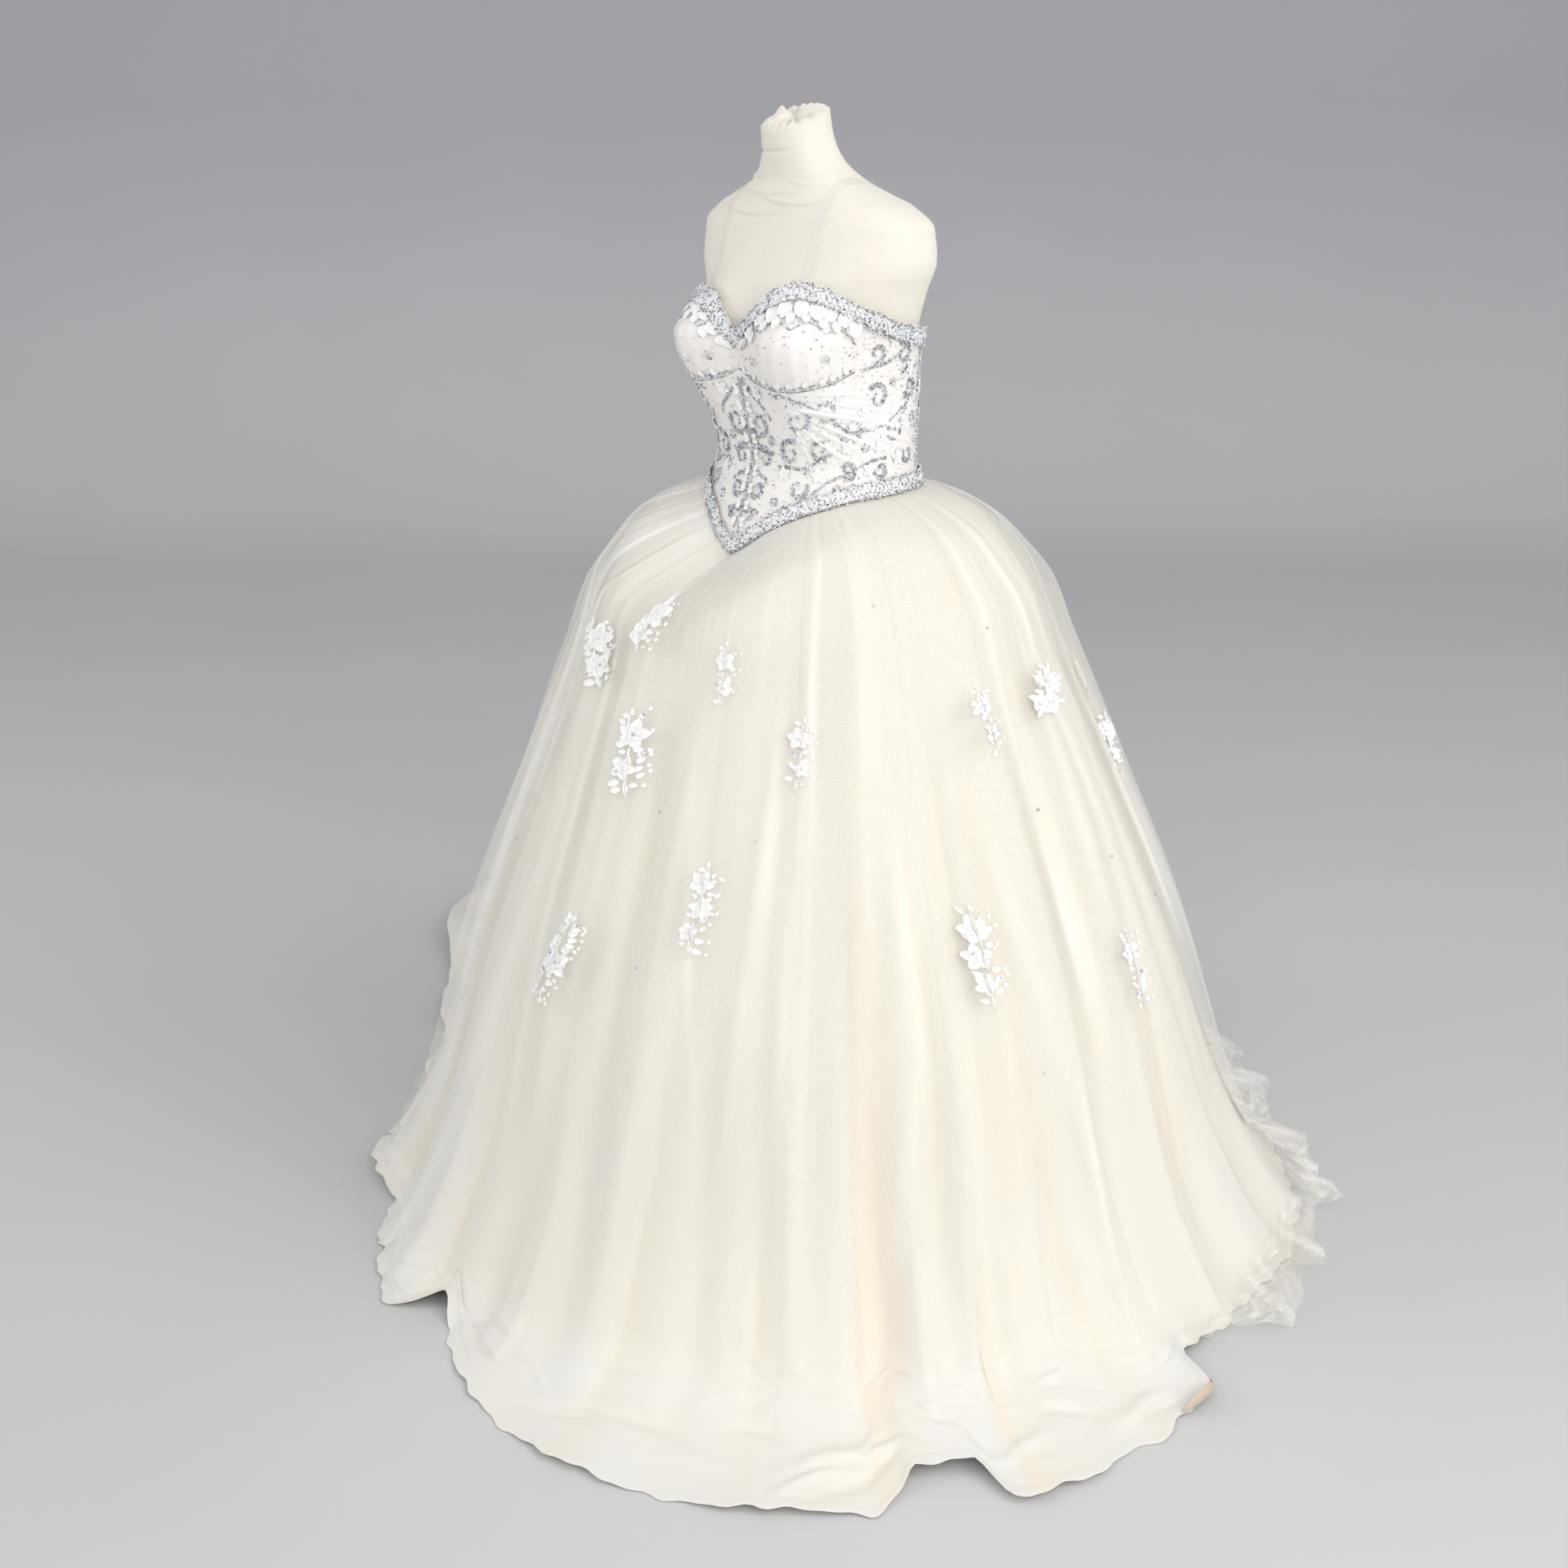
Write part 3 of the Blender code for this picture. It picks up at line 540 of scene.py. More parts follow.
DRAPE_TALL = 0.16         # height of the gathered bunch as a share of the folds' spread
BODICE_PANELS = (
    # name, upper edge, lower edge, first turn, last turn, columns, rows
    ("cup_right", "neckline", "under_bust", -62, 0, 60, 44),
    ("cup_left", "neckline", "under_bust", 0, 62, 60, 44),
    ("bodice_front", "below_cups", "waist", -62, 62, 140, 84),
    ("bodice_side_left", "neckline", "waist", 62, 118, 52, 96),
    ("bodice_side_right", "neckline", "waist", -118, -62, 52, 96),
    ("bodice_back_left", "neckline", "waist", 118, 180, 44, 60),
    ("bodice_back_right", "neckline", "waist", -180, -118, 44, 60),
)


def neckline(turn):
    drop = RIGHT_CUP_DROP * hill(wrapped(turn) + 45.0, 28.0)
    return NECKLINE.at(np.abs(wrapped(turn)), "height") - drop


def under_bust(turn):
    return UNDER_BUST.at(np.abs(wrapped(turn)), "height")


def waistline(turn):
    return WAISTLINE.at(np.abs(wrapped(turn)), "height")


BODICE_EDGES = {"neckline": neckline, "under_bust": under_bust, "waist": waistline,
                "below_cups": lambda turn: under_bust(turn) - SEAM_GAP}


def on_bodice(turn, height, out=0.0):
    """Points of the bodice's outer face, moved out."""
    return body_point(turn, height, BODICE_LIFT + out, CUP_PADDING)


def drape_relief(turn, height):
    """Soft ridges that fan out from the gathering places, the same on both sides."""
    turn = wrapped(turn)
    total = np.zeros(np.broadcast(turn, height).shape)
    for side in (1, -1):
        for row in DRAPE_FOLDS.rows():
            end = row["end"]
            part = (side * turn - DRAPE_TURN) / (row["turn"] - DRAPE_TURN)
            inside = np.clip(part, 0, 1)
            sway = 0.0030 * np.sin(5 * inside + 400 * end)
            fanned = DRAPE_TALL + (1 - DRAPE_TALL) * (1.25 * inside - 0.25 * inside ** 2)
            line = DRAPE_HEIGHT + (end - DRAPE_HEIGHT) * fanned + sway
            half = row["half"] * (0.45 + 0.70 * inside)
            ends = np.clip(part * 6, 0, 1) * np.clip((1.0 - part) * 2.5, 0, 1)
            waver = 0.75 + 0.25 * np.sin(11 * inside + 900 * end)
            total = total + row["depth"] * ends * waver * hill(height - line, half)
    return total


def cup_relief(turn, height):
    """Small soft tucks that run down over each cup from its upper edge."""
    total = np.zeros(np.broadcast(turn, height).shape)
    for number, place in enumerate((8, 15, 21, 27, 34, 40, 46, 53)):
        away = np.abs(wrapped(turn)) - place - 40 * (1.30 - height) * (place - 30) / 25
        total = total + (0.0010 + 0.0005 * math.sin(5 * number)) * hill(away, 1.6)
    return total * np.clip((1.335 - height) / 0.03, 0, 1)


def points_of(piece):
    """The points of a piece's mesh, one a row."""
    flat = np.empty(len(piece.data.vertices) * 3, np.float32)
    piece.data.vertices.foreach_get("co", flat)
    return flat.reshape(-1, 3)


def along(points):
    """Length of a line of points."""
    return float(np.linalg.norm(np.diff(points, axis=0), axis=1).sum())


def lay_out(piece, wide, long, held, rests_on=()):
    """Is given the flat width and length of a piece of cloth, how it is held and what it rests on;
    none of these is used.

    It reads the corner points of each face of the piece's own mesh, and does nothing more with
    them. The area is not that of a known cut. It is measured on the piece's own mesh, and kept
    between LEAST_SHARE and all of the width times the length, so comparing it with the mesh tests
    nothing. A gathered rectangle of net really has all of its width times its length.
    """
    corners = np.empty(len(piece.data.polygons) * 4, np.int32)
    piece.data.polygons.foreach_get("vertices", corners)
    a, b, c, d = points_of(piece)[corners.reshape(-1, 4)].transpose(1, 0, 2)


def make_bodice():
    for name, top, bottom, start, end, columns, rows in BODICE_PANELS:
        high, low = BODICE_EDGES[top], BODICE_EDGES[bottom]
        turns = np.linspace(start, end, columns)[:, None]
        share = np.linspace(0, 1, rows)[None]
        height = high(turns) + (low(turns) - high(turns)) * share
        # the seams between panels are pulled down in a narrow groove
        to_seam = np.minimum(turns - start, end - turns) * math.radians(0.15)
        relief = -0.0011 * hill(to_seam, 0.0016)
        if "cup" in name:
            relief = relief + cup_relief(turns, height) - 0.0015 * hill(height - low(turns), 0.002)
        else:
            relief = relief + drape_relief(turns, height)
        points = on_bodice(turns, height, relief)
        # painted shade: the warm fold tone is laid into the grooves of the seams and the folds,
        # deeper grooves getting more of it
        hollow = np.clip(0.62 - relief / 0.0036, 0, 1) * 0.75
        piece = sheet_mesh(name + "_satin", points, BODICE_SATIN, hollow=hollow)
        settle(piece, name)
        width, length = along(points[:, rows // 2]), along(points[columns // 2])
        lay_out(piece, round(width + 0.01, 3), round(length + 0.01, 3), "stretched",
                ["form_cover"])


make_bodice()


# ==== the straps
# Two narrow clear tapes that run from the cups over the shoulders to the back. Each has a
# slightly thicker rim along both edges.

def make_clear_tape():
    """Clear plastic, duller and less see-through along its rims."""
    material, tree, shader = new_finish("clear_strap_tape")
    rim, cloud = attribute(tree, "rim"), clouds(tree, 0.03)
    set_inputs(tree, shader, {
        "Base Color": blended(tree, rim, (0.85, 0.85, 0.84), (0.66, 0.67, 0.69)),
        "Alpha": ranged(tree, rim, 0, 1, 0.14, 0.55),
        "Roughness": ranged(tree, cloud, 0, 1, 0.16, 0.30),
        "Normal": bumped(tree, cloud, 0.1, 0.0003)})
    return material


STRAP_PLACE, STRAP_WIDTH, STRAP_OUT, STRAP_TUCK = 0.089, 0.011, 0.0036, 0.004
STRAP_PIVOT, STRAP_FRONT_TURN, STRAP_BACK_TURN = 1.400, 36.0, 141.0


def leaves_body(start, way, out):
    """Where straight lines from inside the form come out of it, and a little further."""
    inside, outside = np.zeros(start.shape[:-1]), np.full(start.shape[:-1], 0.30)
    for _ in range(18):
        middle = (inside + outside) / 2
        point = start + way * middle[..., None]
        depth = point[..., 1] + BODY.at(point[..., 2], "lean")
        turn = np.degrees(np.arctan2(point[..., 0], -depth))
        within = np.hypot(point[..., 0], depth) < body_radius(turn, point[..., 2])
        inside, outside = np.where(within, middle, inside), np.where(within, outside, middle)
    return start + way * (inside + out)[..., None]


def make_straps():
    tape = make_clear_tape()
    for name, side in (("left", 1), ("right", -1)):
        across = np.array((-1.0, -0.86, -0.62, 0.0, 0.62, 0.86, 1.0))
        start = np.zeros((len(across), 90, 3))
        start[..., 0] = side * STRAP_PLACE + across[:, None] * STRAP_WIDTH / 2
        start[..., 2] = STRAP_PIVOT
        ends = []
        for turn in (STRAP_BACK_TURN, STRAP_FRONT_TURN):
            end = body_point(side * turn, neckline(side * turn) - STRAP_TUCK) - start[0, 0]
            ends.append(math.atan2(end[2], -end[1]))
        angle = np.linspace(ends[0] + math.tau, ends[1], 90)
        way = np.zeros_like(start)
        way[..., 1], way[..., 2] = -np.cos(angle), np.sin(angle)
        rim = hill(np.abs(across) - 0.93, 0.14)[:, None]
        points = leaves_body(start, way, STRAP_OUT + 0.0004 * rim)
        strap = sheet_mesh(f"strap_{name}_tape", points, tape, rim=rim)
        settle(strap, f"strap_{name}")
        lay_out(strap, STRAP_WIDTH + 0.001, 0.46, "stretched", ["form_cover"])


make_straps()


# ==== the beaded trims and the beading of the bodice
# Round glass beads in silver and grey-blue, sewn one by one: in rows and waves on a ribbon
# along the neckline and the waist, and in scrolls, rosettes and single beads between them.

def make_woven(name, counts, dark, bright, gloss, bump):
    """A plain woven cloth, whose threads give it its colour and its gloss."""
    material, tree, shader = new_finish(name)
    weave, tone = threads(tree, *counts)
    set_inputs(tree, shader, {
        "Base Color": blended(tree, tone, dark, bright),
        "Roughness": ranged(tree, tone, 0, 1, *gloss),
        "Normal": bumped(tree, weave, *bump)})
    return material


def make_bead_finish(name, tones_and_glints, metallic):
    """Polished glass beads: each gets its own tone between dark and bright, partly its real colour
    and partly painted glints and dark reflections.
    """
    material, tree, shader = new_finish(name)
    ramp = add_node(tree, "ShaderNodeValToRGB", {0: attribute(tree, "tone")})
    stops = ramp.color_ramp.elements
    for index, colour in enumerate(tones_and_glints):
        place = index / (len(tones_and_glints) - 1)
        stop = stops[index] if index < 2 else stops.new(place)
        stop.position = place
        stop.color = (*colour, 1.0)
    grain = add_node(tree, "ShaderNodeTexNoise", {
        "Vector": object_places(tree), "Scale": 900.0}).outputs["Fac"]
    set_inputs(tree, shader, {
        "Base Color": ramp.outputs["Color"], "Metallic": metallic, "Coat Weight": 0.4,
        "Roughness": ranged(tree, grain, 0.3, 0.7, 0.14, 0.34),
        "Normal": bumped(tree, grain, 0.15, 0.0002)})
    return material


def make_bead_tree(name, along_paths):
    """Beads on the points of a mesh, or evenly spaced along its lines, standing on "way"."""
    tree, given, result = new_tree(name, "GeometryNodeTree", (
        ("Geometry", "NodeSocketGeometry", None), ("Spacing", "NodeSocketFloat", 0.0026),
        ("Size", "NodeSocketFloat", 0.0023), ("Unevenness", "NodeSocketFloat", 0.2),
        ("Flatness", "NodeSocketFloat", 0.75), ("Seed", "NodeSocketInt", 1),
        ("Finish", "NodeSocketMaterial", None)), (("Geometry", "NodeSocketGeometry"),))
    places = given.outputs["Geometry"]
    if along_paths:
        line = add_node(tree, "GeometryNodeMeshToCurve", {"Mesh": places})
        places = add_node(tree, "GeometryNodeResampleCurve",
                          {"Curve": line.outputs[0], "Length": given.outputs["Spacing"]},
                          mode="LENGTH").outputs[0]
    way = add_node(tree, "GeometryNodeInputNamedAttribute", {"Name": "way"},
                   data_type="FLOAT_VECTOR")
    stand = add_node(tree, "FunctionNodeAlignRotationToVector", {"Vector": way.outputs[0]},
                     axis="Z")
    ball = add_node(tree, "GeometryNodeMeshUVSphere", {"Segments": 5, "Rings": 3, "Radius": 0.5})
    squash = add_node(tree, "ShaderNodeCombineXYZ", {
        "X": 1.0, "Y": 1.0, "Z": given.outputs["Flatness"]})
    bead = add_node(tree, "GeometryNodeTransform", {
        "Geometry": ball.outputs["Mesh"], "Scale": squash.outputs[0]})
    smooth = add_node(tree, "GeometryNodeSetShadeSmooth", {"Geometry": bead.outputs[0]})
    least, most = [computed(tree, "MULTIPLY", given.outputs["Size"], computed(
        tree, "MULTIPLY_ADD", given.outputs["Unevenness"], sign, 1.0)) for sign in (-1.0, 1.0)]
    size = add_node(tree, "FunctionNodeRandomValue", {
        2: least, 3: most, "Seed": given.outputs["Seed"]}, data_type="FLOAT")
    beads = add_node(tree, "GeometryNodeInstanceOnPoints", {
        "Points": places, "Instance": smooth.outputs[0], "Rotation": stand.outputs[0],
        "Scale": size.outputs[1]})
    # a random tone for each bead, partly its own colour and partly painted glints and dark
    # reflections
    shade = add_node(tree, "FunctionNodeRandomValue", {
        "Seed": computed(tree, "ADD", given.outputs["Seed"], 57.0)}, data_type="FLOAT")
    toned = add_node(tree, "GeometryNodeStoreNamedAttribute", {
        "Geometry": beads.outputs[0], "Name": "tone", "Value": shade.outputs[1]},
        data_type="FLOAT", domain="INSTANCE")
    real = add_node(tree, "GeometryNodeRealizeInstances", {"Geometry": toned.outputs[0]})
    finished = add_node(tree, "GeometryNodeSetMaterial", {
        "Geometry": real.outputs[0], "Material": given.outputs["Finish"]})
    tree.links.new(finished.outputs[0], result.inputs[0])
    return tree


SEW_ALONG = make_bead_tree("beads_sewn_along_lines", True)
SEW_SINGLY = make_bead_tree("beads_sewn_singly", False)


def grown(name, marks, tree, **settings):
    """The plain mesh that a Geometry Nodes tree makes from a mesh of marks."""
    maker = marks.modifiers.new("maker", "NODES")
    maker.node_group = tree
    for item in tree.interface.items_tree:
        if item.in_out == "INPUT" and item.name in settings:
            maker[item.identifier] = settings[item.name]
    bpy.context.view_layer.update()
    ready = marks.evaluated_get(bpy.context.evaluated_depsgraph_get())
    mesh = bpy.data.meshes.new_from_object(ready)
    mesh.name = name
    bpy.data.objects.remove(marks, do_unlink=True)
    return add_object(name, mesh)


def keep_vectors(mesh, label, vectors):
    """Keeps a vector at each point of a mesh."""
    data = mesh.attributes.new(label, "FLOAT_VECTOR", "POINT").data
    data.foreach_set("vector", np.asarray(vectors, np.float32).ravel())


def marks_mesh(lines, ways):
    """A mesh of lines, or of single points where a line has one, with "way" as their up."""
    points = np.concatenate(lines)
    edges, first = [], 0
    for line in lines:
        index = np.arange(first, first + len(line) - 1)
        edges.append(np.stack((index, index + 1), axis=1))
        first += len(line)
    mesh = bpy.data.meshes.new("marks")
    mesh.from_pydata(points.tolist(), np.concatenate(edges).tolist(), [])
    keep_vectors(mesh, "way", np.concatenate(ways))
    return add_object("marks", mesh)


def bodice_line(turns, heights, out):
    """Points and outward directions of a line on the bodice."""
    point = on_bodice(turns, heights, out)
    across = on_bodice(turns + 0.3, heights) - on_bodice(turns - 0.3, heights)
    down = on_bodice(turns, heights - 0.001) - on_bodice(turns, heights + 0.001)
    way = np.cross(down, across)
    return point, way / np.linalg.norm(way, axis=-1, keepdims=True)


def sew(name, paths, out, **settings):
    """Beads along (turns, heights) paths on the bodice, or on their points."""
    placed = [bodice_line(np.asarray(t, float), np.asarray(h, float), out) for t, h in paths]
    marks = marks_mesh([p for p, _ in placed], [w for _, w in placed])
    tree = SEW_ALONG if "Spacing" in settings else SEW_SINGLY
    settle(grown(name, marks, tree, **settings))


def singly(turns, heights):
    """A path of one point for each bead that is sewn by itself."""
    return [([turn], [height]) for turn, height in zip(turns, heights)]


RIBBON = make_woven("trim_ribbon", (900.0, 1400.0), (0.88, 0.88, 0.88), (0.95, 0.95, 0.94),
                    (0.42, 0.62), (0.5, 0.0004))
# these bead tones run from painted dark reflections through the beads' own grey and silver to
# painted glints
SILVER_BEAD = make_bead_finish("silver_bead_glass", (
    (0.10, 0.11, 0.13), (0.48, 0.49, 0.52), (0.88, 0.88, 0.89), (0.97, 0.97, 0.97)), 0.25)
SCROLL_BEAD = make_bead_finish("grey_blue_bead_glass", (
    (0.15, 0.16, 0.19), (0.38, 0.40, 0.44), (0.68, 0.69, 0.73), (0.96, 0.96, 0.97)), 0.3)
STONE = make_bead_finish("bright_stone_glass", (
    (0.40, 0.43, 0.50), (0.78, 0.80, 0.85), (0.95, 0.95, 0.97)), 0.25)
TRIM_OUT = 0.0057
SCALLOP = 0.0032          # how far the outermost row of beads swings past the edge of the ribbon
ODD_BEADS = 620
TRIMS = (
    # name, edge, rise of its upper edge, fall of its lower one, waves of beads round it
    ("neckline_trim", neckline, 0.002, 0.019, 72),
    ("waist_trim", waistline, 0.0215, -0.0025, 68),
)


def make_trims():
    around = np.linspace(0, 360, 720, endpoint=False)
    closed = np.append(around, 360.0)
    for seed, (name, edge, rise, fall, waves) in enumerate(TRIMS):
        turns = around[:, None]
        share = np.array((0.0, 0.06, 0.3, 0.5, 0.7, 0.94, 1.0))[None]
        crown = 0.0006 * (1 - (2 * share - 1) ** 4)
        heights = edge(turns) + rise - (rise + fall) * share
        ribbon = sheet_mesh(name + "_ribbon", on_bodice(turns, heights, TRIM_OUT - 0.001 + crown),
                            RIBBON, ring=True)
        settle(ribbon, name)
        middle = edge(closed) + (rise - fall) / 2
        half = (rise + fall) / 2 - 0.0014
        angle = np.radians(closed)
        uneven = 0.0008 * np.sin(41 * angle + seed) + 0.0006 * np.sin(97 * angle)
        rows = [(closed, middle + half * place + uneven) for place in (1.0, -1.0)]
        weaving = 0.74 * half * np.sin(waves * angle)
        scallop = half + SCALLOP * np.abs(np.sin(0.75 * waves * angle))
        rows += [(closed, middle + sign * off + uneven) for off in (weaving, scallop)
                 for sign in (1, -1)]
        sew(name + "_rows", rows, TRIM_OUT, Spacing=0.0030, Size=0.0027, Unevenness=0.30,
            Flatness=0.8, Seed=3 + seed, Finish=SILVER_BEAD)
        place = 360 * (np.arange(waves) + 0.5) / waves
        stones = singly(place, edge(place) + (rise - fall) / 2)
        sew(name + "_stones", stones, TRIM_OUT + 0.0004, Size=0.0044, Unevenness=0.25,
            Flatness=0.6, Seed=11 + seed, Finish=STONE)
        # odd beads fill the gaps and spill a little over both edges
        draw = np.random.default_rng(90 + seed)
        place = draw.uniform(0, 360, ODD_BEADS)
        spill = edge(place) + (rise - fall) / 2 + draw.normal(0, 0.62, ODD_BEADS) * half
        sew(name + "_odd_beads", singly(place, spill), TRIM_OUT - 0.0010,
            Size=0.0030, Unevenness=0.45, Flatness=0.7, Seed=71 + seed, Finish=SILVER_BEAD)


make_trims()

TURN_LENGTH = 0.0028      # metres along the bodice for each degree
CURL_GROWTH = 1.55        # how much larger a curl is drawn than the size in its row
SINGLE_TRIES = 2600       # places tried for the beads that are sewn by themselves
SINGLE_APART = 0.0054     # the least distance between two of them
CURLS = Table(
    "number turn height size sweep start hand",
    (1, 9, 1.188, 0.0150, 400, 200, 1),
    (2, 10, 1.140, 0.0125, 380, 150, -1),
    (3, 8, 1.098, 0.0105, 380, 200, 1),
    (4, 6, 1.062, 0.0080, 360, 160, -1),
    (5, 33, 1.196, 0.0165, 430, 120, -1),
    (6, 47, 1.214, 0.0130, 400, 250, 1),
    (7, 28, 1.150, 0.0140, 400, 60, 1),
    (8, 45, 1.158, 0.0125, 380, 300, -1),
    (9, 33, 1.104, 0.0115, 380, 20, -1),
    (10, 62, 1.186, 0.0150, 420, 200, 1),
    (11, 76, 1.226, 0.0140, 400, 140, -1),
    (12, 60, 1.130, 0.0110, 380, 250, 1),
    (13, 88, 1.180, 0.0135, 400, 40, -1),
    (14, 80, 1.126, 0.0105, 380, 180, 1),
    (15, 100, 1.236, 0.0125, 400, 210, 1),
    (16, 106, 1.190, 0.0110, 380, 330, -1),
    (17, 102, 1.142, 0.0105, 380, 160, 1),
    (18, 92, 1.282, 0.0125, 400, 120, -1),
    (19, 74, 1.286, 0.0115, 380, 260, 1),
    (20, 122, 1.262, 0.0110, 380, 90, 1),
    (21, 126, 1.210, 0.0110, 380, 270, -1),
    (22, 124, 1.156, 0.0100, 380, 90, 1),
    (23, 148, 1.236, 0.0115, 380, 40, 1),
    (24, 150, 1.176, 0.0105, 380, 220, -1),
)
STEMS = Table(
    "number turn height to_turn to_height bow",
    (1, 2, 1.238, 18, 1.196, 0.006),
    (2, 2, 1.160, 17, 1.146, -0.004),
    (3, 1, 1.120, 14, 1.104, 0.004),
    (4, 1, 1.078, 11, 1.066, -0.003),
    (5, 24, 1.232, 60, 1.176, 0.010),
    (6, 60, 1.176, 100, 1.214, -0.009),
    (7, 20, 1.128, 52, 1.150, -0.008),
    (8, 40, 1.094, 84, 1.140, 0.009),
    (9, 66, 1.262, 98, 1.296, -0.006),
    (10, 110, 1.296, 114, 1.118, 0.004),
    (11, 122, 1.286, 140, 1.150, -0.008),
    (12, 92, 1.254, 112, 1.262, 0.004),
)
ROSETTES = Table(
    "number turn height size",
    (1, 24, 1.236, 0.0074), (2, 16, 1.166, 0.0056), (3, 54, 1.196, 0.0062),
    (4, 38, 1.128, 0.0056), (5, 70, 1.158, 0.0058), (6, 86, 1.246, 0.0058),
    (7, 96, 1.206, 0.0052), (8, 20, 1.084, 0.0052), (9, 110, 1.160, 0.0052),
    (10, 112, 1.282, 0.0056), (11, 54, 1.104, 0.0052), (12, 136, 1.236, 0.0056),
    (13, 14, 1.278, 0.0056), (14, 47, 1.284, 0.0050), (15, 138, 1.180, 0.0052),
    (16, 162, 1.206, 0.0052),
)


def round_point(turn, height, angle, size):
    """(turns, heights) on a circle round a point of the bodice."""
    return turn + np.cos(angle) * size / TURN_LENGTH, height + np.sin(angle) * size


def scroll_paths():
    """The lines of the beading, drawn for the left side and mirrored to the right."""
    half = []
    for row in CURLS.rows():
        part = np.linspace(0, 1, 44)
        angle = np.radians(row["start"] + row["hand"] * row["sweep"] * part)
        for inset, drawn in ((0.0, 44), (0.0028, 36), (0.0056, 22)):
            reach = CURL_GROWTH * row["size"] * (1 - 0.78 * part) - inset
            half.append(round_point(row["turn"], row["height"], angle[:drawn], reach[:drawn]))
    for row in STEMS.rows():
        part = np.linspace(0, 1, 40)
        bow = row["bow"] * np.sin(math.pi * part) + 0.0018 * np.sin(3 * math.pi * part)
        for beside in (0.0, 0.0028):
            half.append((row["turn"] + (row["to_turn"] - row["turn"]) * part,
                         row["height"] + (row["to_height"] - row["height"]) * part + bow + beside))
    # a scalloped line lies over each cup, and one follows the seam under it
    over = np.linspace(5, 61, 90)
    scallop = np.abs(np.sin(np.radians((over - 5) * 180 / 14)))
    arch = 1.300 + 0.022 * np.sin(np.radians((over - 5) * 180 / 56))
    half.append((over, arch + 0.011 * scallop))
    half.append((over, under_bust(over) + 0.003 + 0.002 * np.sin(over)))
    half.append((over, under_bust(over) + 0.0062))
    mirrored = [(-np.asarray(t), h) for t, h in half]
    spine = np.linspace(1.250, 1.034, 60)
    spines = [(side + 0.8 * np.sin((spine - 1.03) * 90 + phase), spine)
              for side, phase in ((0.0, 0.0), (1.3, 1.4), (-1.3, 2.8))]
    return half + mirrored + spines


def make_beading():
    sew("bodice_scrolls", scroll_paths(), 0.0012, Spacing=0.0029, Size=0.0027, Unevenness=0.30,
        Flatness=0.8, Seed=21, Finish=SCROLL_BEAD)
    petals, stones = [], []
    for row in ROSETTES.rows():
        for side in (1, -1):
            count = 8
            angle = np.arange(count) * math.tau / count + row["number"]
            petals += singly(*round_point(side * row["turn"], row["height"], angle, row["size"]))
            stones.append(([side * row["turn"]], [row["height"]]))
    sew("bodice_rosettes", petals, 0.0016, Size=0.0036, Unevenness=0.12, Flatness=0.6, Seed=31,
        Finish=SILVER_BEAD)
    sew("bodice_stones", stones, 0.0020, Size=0.0054, Unevenness=0.15, Flatness=0.55, Seed=41,
        Finish=STONE)
    draw = np.random.default_rng(17)
    turns = draw.uniform(-178, 178, SINGLE_TRIES)
    share = draw.uniform(0, 1, SINGLE_TRIES)
    top, bottom = neckline(turns) - 0.022, waistline(turns) + 0.026
    heights = bottom + (top - bottom) * share
    kept = []
    for turn, height in zip(turns, heights):
        near = [(turn - t) ** 2 * TURN_LENGTH ** 2 + (height - h) ** 2 for (t,), (h,) in kept]
        if not near or min(near) > SINGLE_APART ** 2:
            kept.append(([turn], [height]))
    sew("bodice_single_beads", kept, 0.0014, Size=0.0027, Unevenness=0.40, Flatness=0.75, Seed=51,
        Finish=STONE)


make_beading()


# ==== the lace on the bodice
# Petals and leaves cut from corded white lace, applied in lobes under the upper trim of each
# cup, in leaves beside the centre front and in small flowers between the scrolls.

def make_lace_finish():
    """White corded lace: dense threads with a fine open ground between them."""
    material, tree, shader = new_finish("corded_lace")
    cells = add_node(tree, "ShaderNodeTexVoronoi", {
        "Vector": object_places(tree), "Scale": 700.0}, feature="DISTANCE_TO_EDGE")
    cord = ranged(tree, cells.outputs["Distance"], 0.05, 0.30, 1.0, 0.0)
    ground = blended(tree, clouds(tree, 0.02), (0.93, 0.92, 0.89), (0.97, 0.96, 0.93))
    set_inputs(tree, shader, {
        "Base Color": blended(tree, cord, ground, (0.98, 0.97, 0.95)),
        "Alpha": ranged(tree, cord, 0, 1, 0.92, 1.0),
        "Roughness": ranged(tree, cord, 0, 1, 0.80, 0.60),
        "Sheen Weight": 0.3, "Normal": bumped(tree, cord, 0.5, 0.0006)})
    return material


def make_petal_tree():
    """Petals on the points of a mesh, turned by "heading" and as large as "size"."""
    tree, given, result = new_tree("lace_petals_on_marks", "GeometryNodeTree", (
        ("Geometry", "NodeSocketGeometry", None), ("Petal", "NodeSocketObject", None),
        ("Finish", "NodeSocketMaterial", None)), (("Geometry", "NodeSocketGeometry"),))
    shape = add_node(tree, "GeometryNodeObjectInfo", {"Object": given.outputs["Petal"]})
    heading, size = [add_node(tree, "GeometryNodeInputNamedAttribute", {"Name": name},
                              data_type="FLOAT_VECTOR") for name in ("heading", "size")]
    rotation = add_node(tree, "FunctionNodeEulerToRotation", {0: heading.outputs[0]})
    petals = add_node(tree, "GeometryNodeInstanceOnPoints", {
        "Points": given.outputs["Geometry"], "Instance": shape.outputs["Geometry"],
        "Rotation": rotation.outputs[0], "Scale": size.outputs[0]})
    real = add_node(tree, "GeometryNodeRealizeInstances", {"Geometry": petals.outputs[0]})
    finished = add_node(tree, "GeometryNodeSetMaterial",
                        {"Geometry": real.outputs[0], "Material": given.outputs["Finish"]})
    tree.links.new(finished.outputs[0], result.inputs[0])
    return tree


